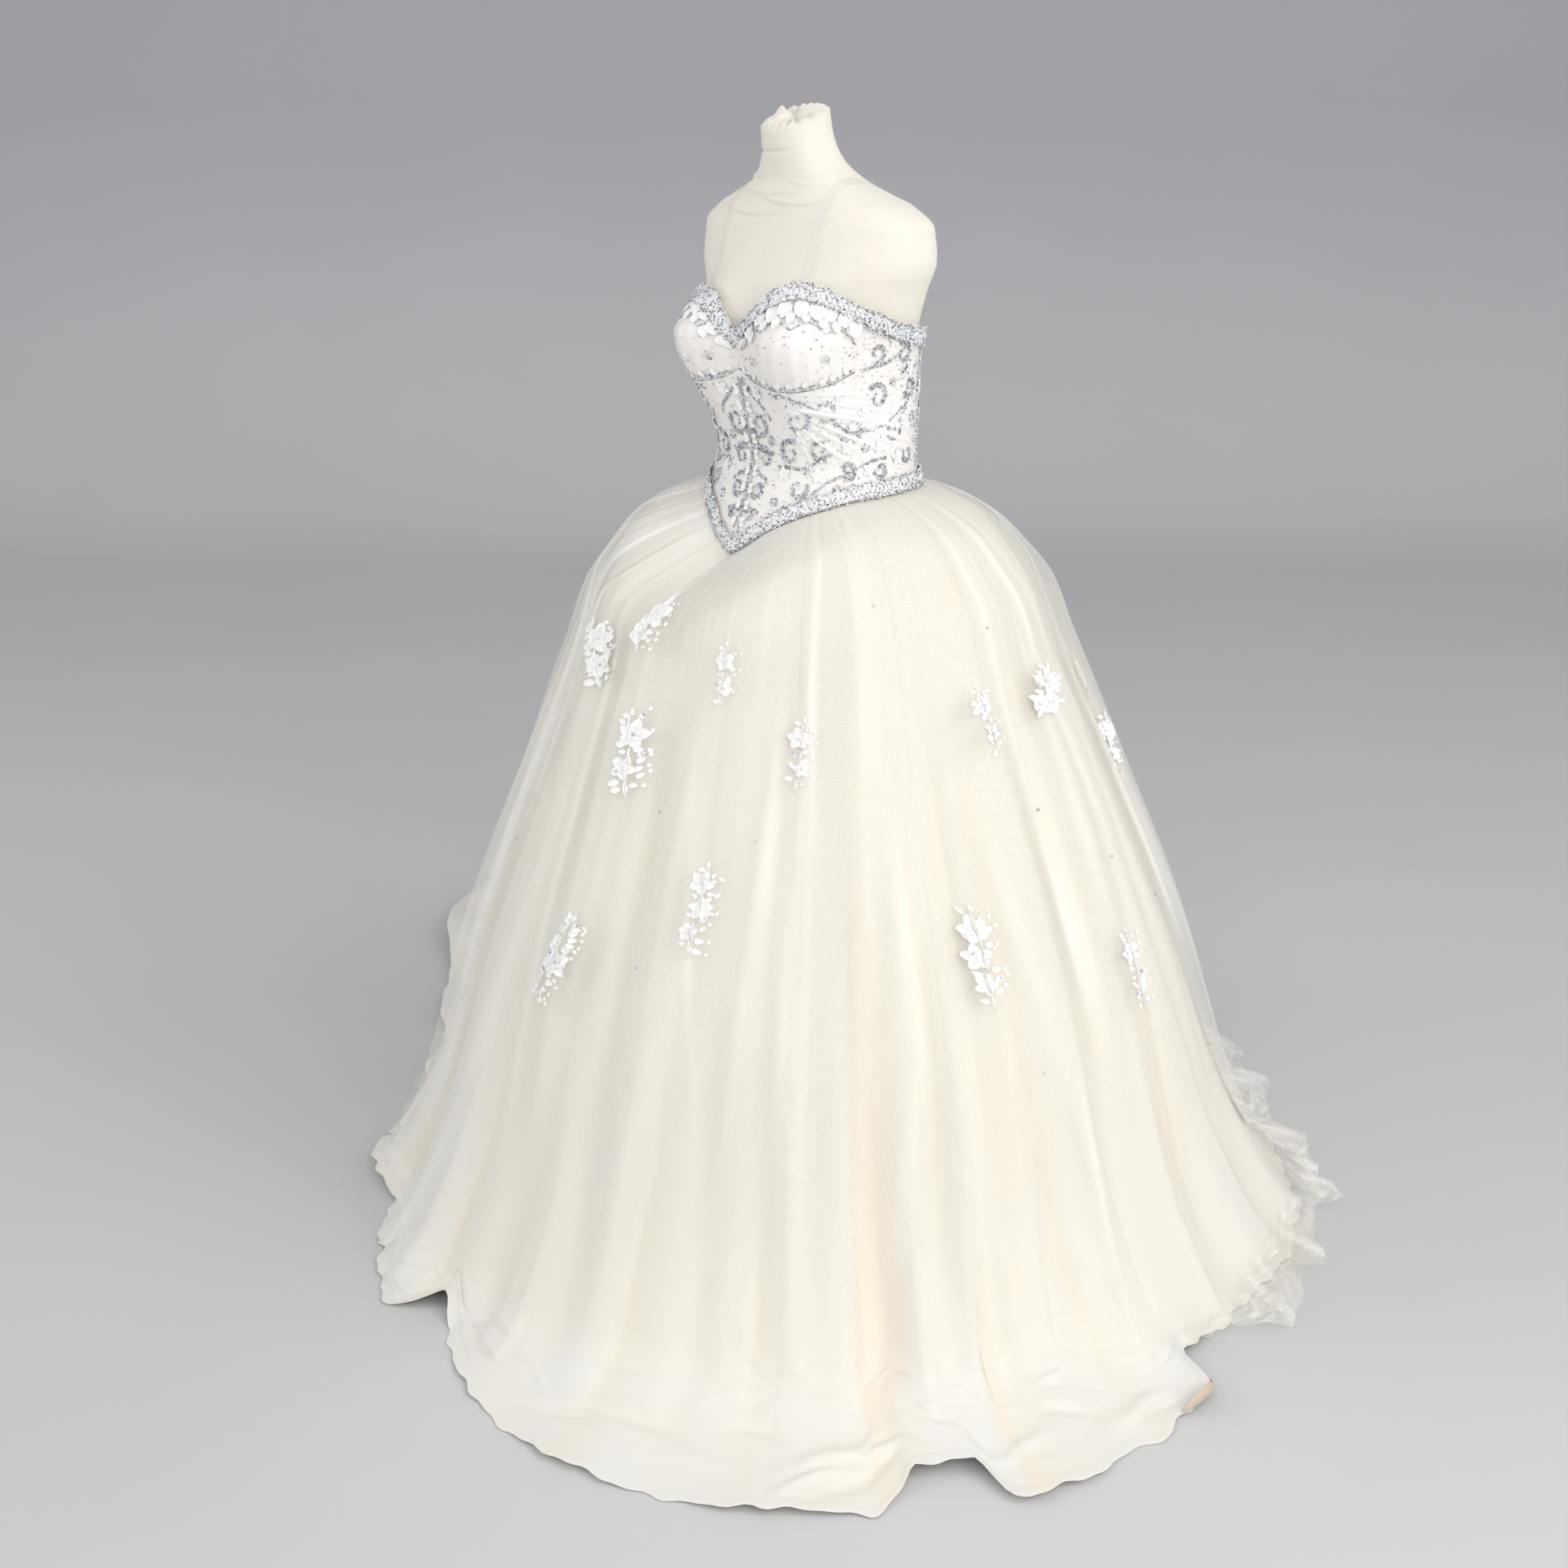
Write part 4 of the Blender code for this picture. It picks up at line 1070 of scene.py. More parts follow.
def make_petal_shape():
    """One petal, a metre long from its root: a cupped leaf shape with a raised rim."""
    across, along = np.meshgrid(np.linspace(-1, 1, 5), np.linspace(0, 1, 6), indexing="ij")
    half = 0.06 + 0.44 * np.sin(math.pi * along ** 0.8) ** 0.7
    rim = 0.10 * np.abs(across) ** 2
    points = np.stack((across * half, along, rim + 0.10 * np.sin(math.pi * along)), axis=-1)
    return sheet_mesh("petal_shape", points[:, ::-1], LACE)


LACE = make_lace_finish()
PETALS = make_petal_tree()


def grow_petals(name, marks, petal):
    """The flat petals of (root, heading, width, length, lift) marks, and their points."""
    mesh = bpy.data.meshes.new("marks")
    mesh.from_pydata([(*root, lift) for root, _, _, _, lift in marks], [], [])
    keep_vectors(mesh, "heading", [(0, 0, angle) for _, angle, _, _, _ in marks])
    keep_vectors(mesh, "size", [(wide, long, long) for _, _, wide, long, _ in marks])
    piece = grown(name, add_object("marks", mesh), PETALS, Petal=petal, Finish=LACE)
    return piece, points_of(piece).astype(float)


def move_points(piece, points):
    """Puts the points of a piece's mesh elsewhere."""
    piece.data.vertices.foreach_set("co", points.astype(np.float32).ravel())
    piece.data.update()


def flower_marks(root, size, petals, start):
    """A flower of outer petals with smaller ones raised inside them."""
    marks = []
    for petal in range(petals):
        angle = start + math.tau * petal / petals
        way = np.array((-math.sin(angle), math.cos(angle)))
        marks.append((root + 0.14 * size * way, angle, 0.70 * size, 0.86 * size, 0.0004))
        marks.append((root + 0.04 * size * way, angle + 0.6, 0.40 * size, 0.50 * size, 0.0014))
    return marks


LACE_FLOWERS = (
    (36, 1.176), (54, 1.224), (68, 1.206), (78, 1.158), (44, 1.122), (92, 1.140), (98, 1.262),
    (24, 1.122), (84, 1.302), (112, 1.232), (60, 1.160), (118, 1.190), (134, 1.262),
    (142, 1.166), (160, 1.240), (12, 1.232), (72, 1.128), (32, 1.214), (156, 1.150),
)


def make_bodice_lace():
    draw = np.random.default_rng(29)
    half = []
    for turn in np.linspace(6, 60, 10):
        root = np.array((turn * TURN_LENGTH, float(neckline(turn)) - 0.018))
        lean = math.pi + math.radians(0.7 * (turn - 32)) + draw.uniform(-0.2, 0.2)
        half.append((root, lean, 0.019, draw.uniform(0.021, 0.027), 0.0006))
    for turn in np.linspace(9, 57, 9):
        low = float(neckline(turn)) - 0.034 + draw.uniform(-0.003, 0.003)
        root = np.array((turn * TURN_LENGTH, low))
        lean = math.pi + math.radians(1.1 * (turn - 32)) + draw.uniform(-0.3, 0.3)
        half.append((root, lean, 0.011, draw.uniform(0.013, 0.018), 0.0016))
    for step in range(9):
        height = 1.232 - 0.0225 * step
        for lean in (-0.9, -1.9):
            half.append((np.array((0.004, height)), lean, 0.0085, 0.0135 - 0.0005 * step, 0.0006))
    for turn in np.linspace(6, 58, 9):
        root = np.array((turn * TURN_LENGTH, float(under_bust(turn)) + 0.004))
        half.append((root, draw.uniform(-0.7, 0.7), 0.008, 0.011, 0.0004))
    for turn, height in LACE_FLOWERS:
        root = np.array((turn * TURN_LENGTH, height))
        half += flower_marks(root, draw.uniform(0.0095, 0.0125), 5, draw.uniform(0, 1))
    mirrored = [(root * np.array((-1.0, 1.0)), -angle, *rest) for root, angle, *rest in half]
    petal = make_petal_shape()
    piece, flat = grow_petals("bodice_lace", half + mirrored, petal)
    bpy.data.objects.remove(petal, do_unlink=True)
    move_points(piece, on_bodice(flat[:, 0] / TURN_LENGTH, flat[:, 1], 0.0010 + flat[:, 2]))
    settle(piece)


make_bodice_lace()


# ==== the satin skirt
# Ten gores of the same ivory satin over hidden petticoats. In front the hem breaks on the
# floor in a round, behind it is drawn out into a train, and it is turned under all along.

# the second colour is the painted warm shade laid into the satin's folds
SKIRT_SATIN = make_satin("skirt_satin", (0.760, 0.752, 0.708), (0.81, 0.72, 0.57), 0.48)
WAIST_GAP = 0.0012
WAIST_HEIGHT = 1.092
BELL_FOOT = 0.712
BELL_DRIFT, BELL_DRIFT_TURN = 0.032, 90.0
POINT_EASE, NET_EASE = 1.70, 1.30    # how slowly satin and net leave the point of the bodice
WAIST_SPRING = 0.012
POINT_ROUNDING = range(-16, 17, 4)      # turns over which the corner of the point is rounded off
POINT_KEPT, POINT_FADE = 0.012, 0.035   # depth below the seam left sharp, and that of the change
ON_BELL = 0.76
HEM_BEND = 0.065
HEM_FLARE = 0.007
HEM_TURN = 0.012
BELL = Table(
    "height share inside",
    (1.092, 0.000, 0.0036),
    (1.072, 0.105, 0.0120),
    (1.043, 0.196, 0.0200),
    (1.010, 0.250, 0.0260),
    (0.957, 0.318, 0.0300),
    (0.875, 0.370, 0.0300),
    (0.710, 0.490, 0.0270),
    (0.450, 0.676, 0.0240),
    (0.200, 0.815, 0.0200),
    (0.060, 0.930, 0.0140),
    (0.000, 1.000, 0.0100),
)
SATIN_HEM = Table(
    "turn reach height",
    (-176, 0.935, 0.0024), (-163, 1.070, 0.0024), (-149, 1.240, 0.0024), (-135, 1.370, 0.0024),
    (-122, 1.400, 0.0024), (-110, 1.370, 0.0024), (-102, 1.290, 0.0024), (-97, 1.170, 0.0200),
    (-91, 0.990, 0.0024), (-83, 0.860, 0.0180), (-77, 0.770, 0.0024), (-69, 0.730, 0.0160),
    (-56, 0.655, 0.0024), (-44, 0.700, 0.0240), (-28, 0.650, 0.0024), (-19, 0.712, 0.0060),
    (-12, 0.736, 0.0024), (-9.7, 0.748, 0.0024), (-8, 0.722, 0.0100), (-5, 0.672, 0.0300),
    (-1, 0.712, 0.0024), (7, 0.772, 0.0024),
    (16, 0.826, 0.0024), (24, 0.857, 0.0024), (31, 0.874, 0.0024), (39, 0.884, 0.0024),
    (45, 0.884, 0.0024), (48.5, 0.889, 0.0024), (51, 0.858, 0.0080), (53, 0.818, 0.0200),
    (58, 0.822, 0.0200), (60, 0.884, 0.0030), (61.5, 0.897, 0.0024), (65, 0.884, 0.0024),
    (68, 0.878, 0.0024), (70, 0.866, 0.0024), (72, 0.850, 0.0024), (75, 0.857, 0.0024),
    (78, 0.836, 0.0024), (81, 0.826, 0.0040), (83.5, 0.818, 0.0100), (87, 0.724, 0.0120),
    (95, 0.728, 0.0024), (103, 0.738, 0.0024), (114, 0.752, 0.0024),
    (135, 0.740, 0.0024), (151, 0.750, 0.0024), (168, 0.825, 0.0024),
    period=360.0,
)
LONG_FOLDS = (
    # turn, lean, width, depth, height where it dies out
    (-168, 6, 6.0, 0.026, 0.80), (-151, -5, 5.0, -0.024, 0.62), (-128, 4, 6.0, 0.030, 0.85),
    (-108, -4, 4.5, -0.026, 0.70), (-92, 3, 4.0, 0.022, 0.55), (-74, -2, 4.5, -0.020, 0.75),
    (-52, 3, 4.0, 0.018, 0.50), (-33, -3, 4.5, -0.022, 0.80), (-14, 3, 4.0, 0.016, 0.45),
    (2, 0, 3.5, -0.018, 0.60), (47, 1, 3.5, 0.014, 0.75), (52, 0, 2.8, -0.026, 0.78),
    (61, 9, 4.4, 0.026, 0.62), (70, 4, 3.2, -0.022, 0.50), (84, -3, 4.5, 0.018, 0.75),
    (101, 4, 4.5, -0.024, 0.66), (122, -4, 5.0, 0.024, 0.80), (143, 5, 5.0, -0.022, 0.58),
    (160, -3, 4.0, 0.018, 0.70),
)


def eased_waist(turn, height):
    """Height of the waist seam, its pointed corner rounded off a little way below it."""
    seam = waistline(turn)
    rounded = sum(waistline(turn + step) for step in POINT_ROUNDING) / len(POINT_ROUNDING)
    return seam + (rounded - seam) * np.clip((seam - height - POINT_KEPT) / POINT_FADE, 0, 1)


def springing(turn, height, ease=POINT_EASE):
    """From 0 at the waist seam to 1 where the skirt stands free of it."""
    top = eased_waist(turn, height)
    spring = WAIST_SPRING + ease * (WAIST_HEIGHT - top)
    return 1 - (1 - np.clip((top - height) / spring, 0, 1)) ** 2


def bell_radius(turn, height, ease=POINT_EASE):
    """The smooth outer bell of the skirt, before its folds."""
    edge = on_bodice(turn, waistline(turn))
    start = np.hypot(edge[..., 0], edge[..., 1])
    foot = BELL_FOOT + BELL_DRIFT * np.cos(np.radians(turn - BELL_DRIFT_TURN))
    return start + BELL.at(height, "share") * (foot - start) * springing(turn, height, ease)


def long_folds(turn, height):
    """How far the long folds stand out of the bell, or into it."""
    total = 0.0
    for place, lean, width, depth, top in LONG_FOLDS:
        drop = np.clip(1 - height / top, 0, 1)
        total = total + depth * drop * hill(wrapped(turn - place - lean * (1 - drop)), width)
    return total + small_folds(FLARED_FOLDS, turn, height)


def floor_ripple(turn, reach):
    """Low waves in the cloth that lies on the floor, growing out along the train."""
    angle = np.radians(turn)
    slant = 7.0 * reach + 0.8 * np.sin(3 * angle)
    waves = 0.5 + 0.5 * np.sin(19 * angle + slant)
    return 0.024 * waves * np.clip((reach - 0.70) / 0.35, 0, 1)


def satin_inside(turn, height):
    """How far the satin hangs inside the overlay."""
    seam = BELL.at(WAIST_HEIGHT, "inside")
    return seam + (BELL.at(height, "inside") - seam) * springing(turn, height)


def skirt_grid(turn, share, hem, relief, ease=POINT_EASE):
    """Points of a skirt layer; relief(turn, height) sets it out from the bell and its folds."""
    top = waistline(turn) - WAIST_GAP
    hem_height = hem.at(turn, "height")

    def hang(height):
        return bell_radius(turn, height, ease) + long_folds(turn, height) + relief(turn, height)

    foot = hang(hem_height)
    reach = np.maximum(hem.at(turn, "reach"), foot + HEM_FLARE)
    bend = hem_height + HEM_BEND
    high_height = top + (bend - top) * np.minimum(share / ON_BELL, 1)
    part = np.clip((share - ON_BELL) / (1 - ON_BELL), 0, 1)
    touch = np.minimum(foot, reach - HEM_TURN)
    radius = ((1 - part) ** 2 * hang(high_height) + 2 * part * (1 - part) * touch
              + part ** 2 * reach)
    low_height = (1 - part) ** 2 * bend + (1 - (1 - part) ** 2) * hem_height
    height = np.where(share <= ON_BELL, high_height, low_height)
    waves = floor_ripple(turn, radius) * np.sin(math.pi * np.minimum(part, 0.72))
    return at_reach(turn, radius, height + waves)


def make_folds(count, seed, widths, depths, tops=(0.55, 1.12), bottoms=(-0.10, 0.35), lean=1.6):
    """Small uneven folds: turn, width, depth, lean, and where each begins and ends."""
    draw = np.random.default_rng(seed)
    place = -180 + 360 * (np.arange(count) + draw.uniform(-0.4, 0.4, count)) / count
    return np.column_stack((
        place, draw.uniform(*widths, count), draw.uniform(*depths, count),
        draw.normal(0, lean, count), draw.uniform(*tops, count), draw.uniform(*bottoms, count)))


def small_folds(table, turn, height):
    """Relief of a table of small folds over a grid."""
    total = np.zeros(np.broadcast(turn, height).shape)
    for place, width, depth, lean, top, bottom in table:
        grown = np.clip((top - height) / 0.22, 0, 1) * np.clip((height - bottom) / 0.18, 0, 1)
        away = wrapped(turn - place - lean * (height - 0.5) / 0.5)
        total = total + depth * grown * hill(away, width)
    return total


FLARED_FOLDS = make_folds(38, 31, (1.1, 2.6), (-0.010, 0.011), (0.50, 0.95), (-0.60, -0.30), 2.0)
SATIN_CREASES = make_folds(84, 11, (1.0, 3.2), (-0.0055, 0.0055), (0.40, 1.12), (-0.20, 0.55), 2.5)
FOLD_SLOPE, FOLD_EDGE = 2.6, 0.35    # widths of the long and the sharp side of a crisp fold
CRISP_FOLDS = Table(
    # sharp-edged folds pressed into the satin from the hem up to a height
    "turn lean width depth top",
    (-172, 3, 1.0, -0.010, 0.62), (-158, -3, 1.0, 0.009, 0.48), (-137, 4, 1.0, -0.011, 0.60),
    (-119, -2, 0.9, 0.009, 0.50), (-101, 3, 0.9, -0.010, 0.55), (-84, -3, 0.9, 0.010, 0.42),
    (-66, 2, 0.9, -0.009, 0.50), (-49, -3, 0.8, 0.009, 0.60), (-35, 2, 0.8, -0.008, 0.42),
    (-22, 2, 0.8, 0.010, 0.50), (-8, -1, 0.8, -0.012, 0.44), (8, 1, 0.8, 0.010, 0.40),
    (21, 2, 0.8, -0.012, 0.52), (37, 0, 0.7, -0.009, 0.56), (49.5, 0, 0.9, -0.023, 0.66),
    (56, 1, 0.8, 0.008, 0.40), (62, 4, 0.9, -0.021, 0.46), (71, 5, 0.8, 0.013, 0.38),
    (76, -2, 0.8, -0.011, 0.46),
    (81, 3, 0.8, 0.009, 0.40), (97, 2, 0.9, -0.009, 0.52), (113, -3, 0.9, 0.010, 0.62),
    (131, 3, 1.0, -0.010, 0.50), (149, -2, 1.0, 0.010, 0.56), (166, 3, 1.0, -0.009, 0.46),
)
SATIN_GORES = (
    # name, first turn, last turn, columns, cut width and length
    ("satin_front", -25, 40, 101, (0.98, 1.25)),
    ("satin_side_front_left", 40, 62.5, 48, (0.46, 1.27)),
    ("satin_side_left", 62.5, 85, 44, (0.42, 1.27)),
    ("satin_side_back_left", 85, 130, 62, (0.68, 1.24)),
    ("satin_back_left", 130, 180, 68, (0.85, 1.40)),
    ("satin_back_right", -180, -130, 82, (1.20, 1.80)),
    ("satin_side_back_right", -130, -85, 82, (1.15, 1.80)),
    ("satin_side_right", -85, -54, 50, (0.55, 1.30)),
    ("satin_side_front_right", -54, -44, 18, (0.17, 1.22)),
    ("satin_front_right", -44, -25, 30, (0.30, 1.20)),
)
FLOOR_CREASES = Table(
    # creases where the satin breaks on the floor: middle, length in degrees, slant, size
    "number turn share long slant half depth",
    (1, -4, 0.862, 3.2, 0.004, 0.010, -0.0060),
    (2, 6, 0.905, 2.8, -0.010, 0.010, -0.0055),
    (3, 13, 0.880, 2.6, 0.012, 0.009, 0.0045),
    (4, 19, 0.925, 3.0, -0.008, 0.010, -0.0060),
    (5, 27, 0.900, 4.2, 0.003, 0.011, -0.0060),
    (6, 33, 0.935, 3.2, 0.010, 0.012, 0.0050),
    (7, 39, 0.880, 2.4, 0.002, 0.009, -0.0050),
    (8, 46, 0.915, 3.6, -0.016, 0.013, 0.0110),
    (9, 48, 0.955, 3.4, -0.014, 0.010, -0.0080),
    (10, 56, 0.900, 3.0, 0.012, 0.010, -0.0060),
    (11, 63, 0.930, 3.2, -0.012, 0.011, 0.0075),
    (12, 69, 0.900, 2.4, 0.014, 0.010, -0.0060),
    (13, 76, 0.940, 3.0, -0.010, 0.012, 0.0070),
    (14, -12, 0.930, 3.0, 0.012, 0.012, 0.0070),
    (15, -50, 0.900, 3.6, 0.010, 0.012, -0.0060),
    (16, -68, 0.920, 3.6, -0.010, 0.012, 0.0070),
    (22, -79, 0.925, 3.0, 0.012, 0.007, 0.0130),
    (23, -77, 0.950, 2.6, 0.014, 0.006, -0.0100),
    (24, -56, 0.930, 3.0, -0.016, 0.007, -0.0080),
    (25, -52, 0.955, 2.6, 0.012, 0.006, 0.0080),
    (26, 51, 0.935, 2.2, 0.020, 0.006, 0.0090),
    (27, 44, 0.950, 2.8, -0.020, 0.006, 0.0080),
    (17, -88, 0.900, 3.6, 0.014, 0.014, -0.0080),
    (18, -118, 0.880, 4.6, -0.010, 0.014, 0.0090),
    (19, -142, 0.910, 4.6, 0.010, 0.014, -0.0080),
    (20, 110, 0.920, 3.6, 0.010, 0.012, -0.0060),
    (21, 146, 0.900, 4.0, -0.010, 0.012, 0.0070),
)


def crisp_folds(turn, height):
    """Folds with one sharp edge, like pleats that have been pressed and fallen open."""
    total = np.zeros(np.broadcast(turn, height).shape)
    for row in CRISP_FOLDS.rows():
        drop = np.clip(1 - height / row["top"], 0, 1)
        away = wrapped(turn - row["turn"] - row["lean"] * (1 - drop)) * -np.sign(row["depth"])
        wide = row["width"] * np.where(away > 0, FOLD_SLOPE, FOLD_EDGE)
        total = total + row["depth"] * drop ** 0.6 * np.exp(-np.abs(away) / wide)
    return total


CREASES = 190             # how many fine creases there are in the satin
# least and most turn, share of the way down and half length of one; half width and depth
CREASE_PLACES = ((-180, 180), (0.70, 0.97), (0.8, 3.0))
CREASE_SIZES = ((0.003, 0.007), (-0.0052, 0.0042))


def fine_creases(turn, share):
    """Little creases pressed at random into the satin near the floor."""
    draw = np.random.default_rng(37)
    total = np.zeros(np.broadcast(turn, share).shape)
    for _ in range(CREASES):
        place, down, long = [draw.uniform(*span) for span in CREASE_PLACES]
        slant = draw.normal(0, 0.016)
        half, depth = [draw.uniform(*span) for span in CREASE_SIZES]
        away = wrapped(turn - place)
        across = np.abs(share - down - slant * away / long)
        total = total + depth * hill(away, long) * np.exp(-across / half)
    return total


def floor_creases(turn, share):
    total = fine_creases(turn, share)
    for row in FLOOR_CREASES.rows():
        away = wrapped(turn - row["turn"])
        line = row["share"] + row["slant"] * away / row["long"] + 0.006 * (away / row["long"]) ** 2
        total = total + row["depth"] * hill(away, row["long"]) * hill(share - line, row["half"])
    return total


def turned_under(points, deep, radius):
    """The same grid with its lower edge rolled under and brought back a little way."""
    end, before = points[:, -1], points[:, -3]
    along = end - before
    along /= np.linalg.norm(along, axis=1, keepdims=True)
    across = np.gradient(end, axis=0)
    out = np.cross(along, across)
    out /= np.linalg.norm(out, axis=1, keepdims=True)
    rows = [end + along * radius * math.sin(a) - out * radius * (1 - math.cos(a))
            for a in (math.pi / 4, math.pi / 2, math.pi * 3 / 4, math.pi)]
    rows.append(end - along * deep - out * radius * 2)
    return np.concatenate((points, np.stack(rows, axis=1)), axis=1)


def make_satin_skirt():
    shares = spaced((0, ON_BELL, 84), (ON_BELL, 1, 60))

    def relief(turn, height):
        return (small_folds(SATIN_CREASES, turn, height) + crisp_folds(turn, height)
                - satin_inside(turn, height))

    for name, start, end, columns, cut in SATIN_GORES:
        turns = np.linspace(start, end, columns)[:, None]
        points = skirt_grid(turns, shares, SATIN_HEM, relief)
        creased = floor_creases(turns, shares)
        seam = np.minimum(turns - start, end - turns) * math.radians(0.6)
        step = np.linalg.norm(np.diff(points, axis=1), axis=2)
        to_hem = np.cumsum(np.pad(step, ((0, 0), (0, 1)))[:, ::-1], axis=1)[:, ::-1]
        sunk = creased - 0.0016 * hill(seam, 0.0030) * np.clip(1.2 - shares, 0, 1)
        sunk = sunk - 0.0014 * hill(to_hem - 0.019, 0.0024)
        points = points + outward(points) * sunk[..., None]
        angle = np.radians(turns)
        wavy = 0.0026 * np.sin(73 * angle + 2 * np.sin(9 * angle)) + 0.0018 * np.sin(127 * angle)
        edge = np.clip(1 - to_hem / 0.05, 0, 1) ** 2
        points[..., :2] *= (1 + edge * wavy / np.hypot(points[..., 0], points[..., 1]))[..., None]
        # where the cloth lies on the floor, no crease goes below it
        points[..., 2] = np.maximum(points[..., 2], 0.0022)
        height = points[..., 2]
        # painted shade: the warm fold tone is laid into the valleys of folds and creases, and
        # weakened near the floor
        broad = long_folds(turns, height) * np.clip(height / 0.30, 0, 1)
        fine = small_folds(SATIN_CREASES, turns, height) + crisp_folds(turns, height)
        hollow = np.clip(-(broad + 1.9 * fine + 2.0 * creased) / 0.032, 0, 1)
        hollow = hollow * (0.45 + 0.55 * np.clip(height / 0.12, 0, 1))
        points = turned_under(points, 0.014, 0.0009)
        hollow = np.concatenate((hollow, np.repeat(hollow[:, -1:], 5, axis=1)), axis=1)
        piece = sheet_mesh(name + "_gore", points, SKIRT_SATIN, hollow=hollow)
        settle(piece, name)
        lay_out(piece, *cut, "hung")


make_satin_skirt()


# the duller back of the satin, painted darker and browner as painted shade inside the curled-up
# hem
WRONG_SIDE_IN_SHADE = make_woven("satin_wrong_side", (1500.0, 1200.0), (0.52, 0.43, 0.33),
                        (0.64, 0.55, 0.44), (0.62, 0.80), (0.3, 0.0003))
FLAP_START, FLAP_END, FLAP_LONG = 79.0, 84.5, 0.030
FLAP_CURL = 2.5           # radians through which the corner has curled over


def make_hem_flap():
    """A corner of the hem that has turned up and shows the back of the satin."""
    turns = np.linspace(FLAP_START, FLAP_END, 26)[:, None]
    part = np.linspace(0, 1, 14)[None]
    wide = np.sin(math.pi * (turns - FLAP_START) / (FLAP_END - FLAP_START)) ** 0.6
    curl = FLAP_CURL * part
    reach = SATIN_HEM.at(turns, "reach") - 0.001 + FLAP_LONG * wide * np.sin(curl) / FLAP_CURL
    height = 0.0052 + FLAP_LONG * wide * (1 - np.cos(curl)) / FLAP_CURL * 1.2
    flap = sheet_mesh("satin_hem_flap", at_reach(turns, reach, height)[:, ::-1], WRONG_SIDE_IN_SHADE)
    settle(flap)
    lay_out(flap, 0.085, FLAP_LONG + 0.002, "folded")


make_hem_flap()


# ==== the tulle overlay
# Soft white nylon net, gathered into the waist seam: six widths outside and one full layer
# under them. The net hangs in fine uneven folds and stands a little off the satin.

def make_net(name, cover, light, shade):
    """Sheer net with small six-sided holes, denser where its folds are seen edge on."""
    material, tree, shader = new_finish(name)
    cells = add_node(tree, "ShaderNodeTexVoronoi", {
        "Vector": cloth_places(tree), "Scale": 520.0, "Randomness": 0.35},
        feature="DISTANCE_TO_EDGE", voronoi_dimensions="2D").outputs["Distance"]
    gather = attribute(tree, "gather")
    alpha = ranged(tree, gather, 0, 1, cover, cover + 0.50)
    alpha = computed(tree, "MULTIPLY", alpha, attribute(tree, "fullness"))
    alpha = computed(tree, "MULTIPLY", alpha, ranged(tree, clouds(tree, 0.20), 0, 1, 0.85, 1.15))
    holes = ranged(tree, cells, 0.08, 0.26, 1.45, 0.70)
    set_inputs(tree, shader, {
        "Alpha": computed(tree, "MULTIPLY", alpha, holes, use_clamp=True),
        "Base Color": blended(tree, gather, shade, light),
        "Roughness": ranged(tree, cells, 0, 0.5, 0.62, 0.85),
        "Sheen Weight": 0.3, "Sheen Roughness": 0.4, "Specular IOR Level": 0.2})
    return material


OUTER_NET = make_net("outer_tulle", 0.23, (0.99, 0.98, 0.94), (0.98, 0.95, 0.87))
UNDER_NET = make_net("under_tulle", 0.19, (0.99, 0.97, 0.90), (0.98, 0.93, 0.81))
TULLE_HEM = Table(
    "turn reach height",
    (-165, 1.000, 0.024), (-149, 1.130, 0.024), (-135, 1.230, 0.024), (-120, 1.250, 0.024),
    (-106, 1.170, 0.026), (-97, 1.060, 0.040), (-88, 0.880, 0.036), (-77, 0.740, 0.036),
    (-62, 0.690, 0.044), (-45, 0.665, 0.050), (-25, 0.650, 0.052), (-8, 0.655, 0.048),
    (15, 0.680, 0.044), (40, 0.690, 0.051), (64, 0.690, 0.070), (78, 0.715, 0.036),
    (88, 0.760, 0.0130), (96, 0.785, 0.0026), (117, 0.795, 0.0026), (139, 0.775, 0.0026),
    (153, 0.780, 0.0110), (172, 0.850, 0.024),
    period=360.0,
)
TULLE_WIDTHS, FIRST_SEAM = 6, 12.0
HEAP_HEIGHT = 0.05        # net lower than this lies on the floor
TULLE_COLUMNS = 132
FINE_GATHERS = make_folds(130, 2, (0.5, 1.1), (0.0008, 0.0034), (1.20, 1.30), (0.74, 1.00), 0.8)
OUTER_PLEATS = make_folds(96, 5, (0.9, 2.6), (-0.005, 0.011), (0.40, 1.25), (-0.25, 0.50), 3.5)
UNDER_PLEATS = make_folds(54, 8, (1.0, 3.0), (-0.004, 0.007), (0.50, 1.25), (-0.20, 0.45), 3.0)
NET_BUNCHES = make_folds(84, 13, (0.6, 2.8), (0.10, 0.60), (0.40, 1.25), (-0.20, 0.60), 4.5)


def gathers(turn):
    """An uneven run of pleats from -1 to 1, closed all the way round."""
    angle = np.radians(turn)
    uneven = 0.9 * np.sin(2 * angle + 0.4) + 0.5 * np.sin(5 * angle + 0.8)
    return np.sin(15 * angle + uneven)


def overlay_relief(turn, height):
    """The overlay's folds: fine gathers at the waist, then pleats, then broad ones."""
    spring = springing(turn, height)
    broad = 0.38 * satin_inside(turn, height) * np.clip((1 - height / WAIST_HEIGHT) / 0.25, 0, 1)
    below_seam = height - waistline(turn) + WAIST_HEIGHT
    fine = small_folds(FINE_GATHERS, turn, below_seam) + small_folds(OUTER_PLEATS, turn, height)
    return 0.0012 + broad * gathers(turn) + (fine - 0.002) * (0.25 + 0.75 * spring)


CRUMPLE_TALL = 0.034      # height of the roughest creases of the net on the floor
CRUMPLE_WAVES = ((20, 60), (30, 110), (0, math.tau))    # round, away from the axis, and phase


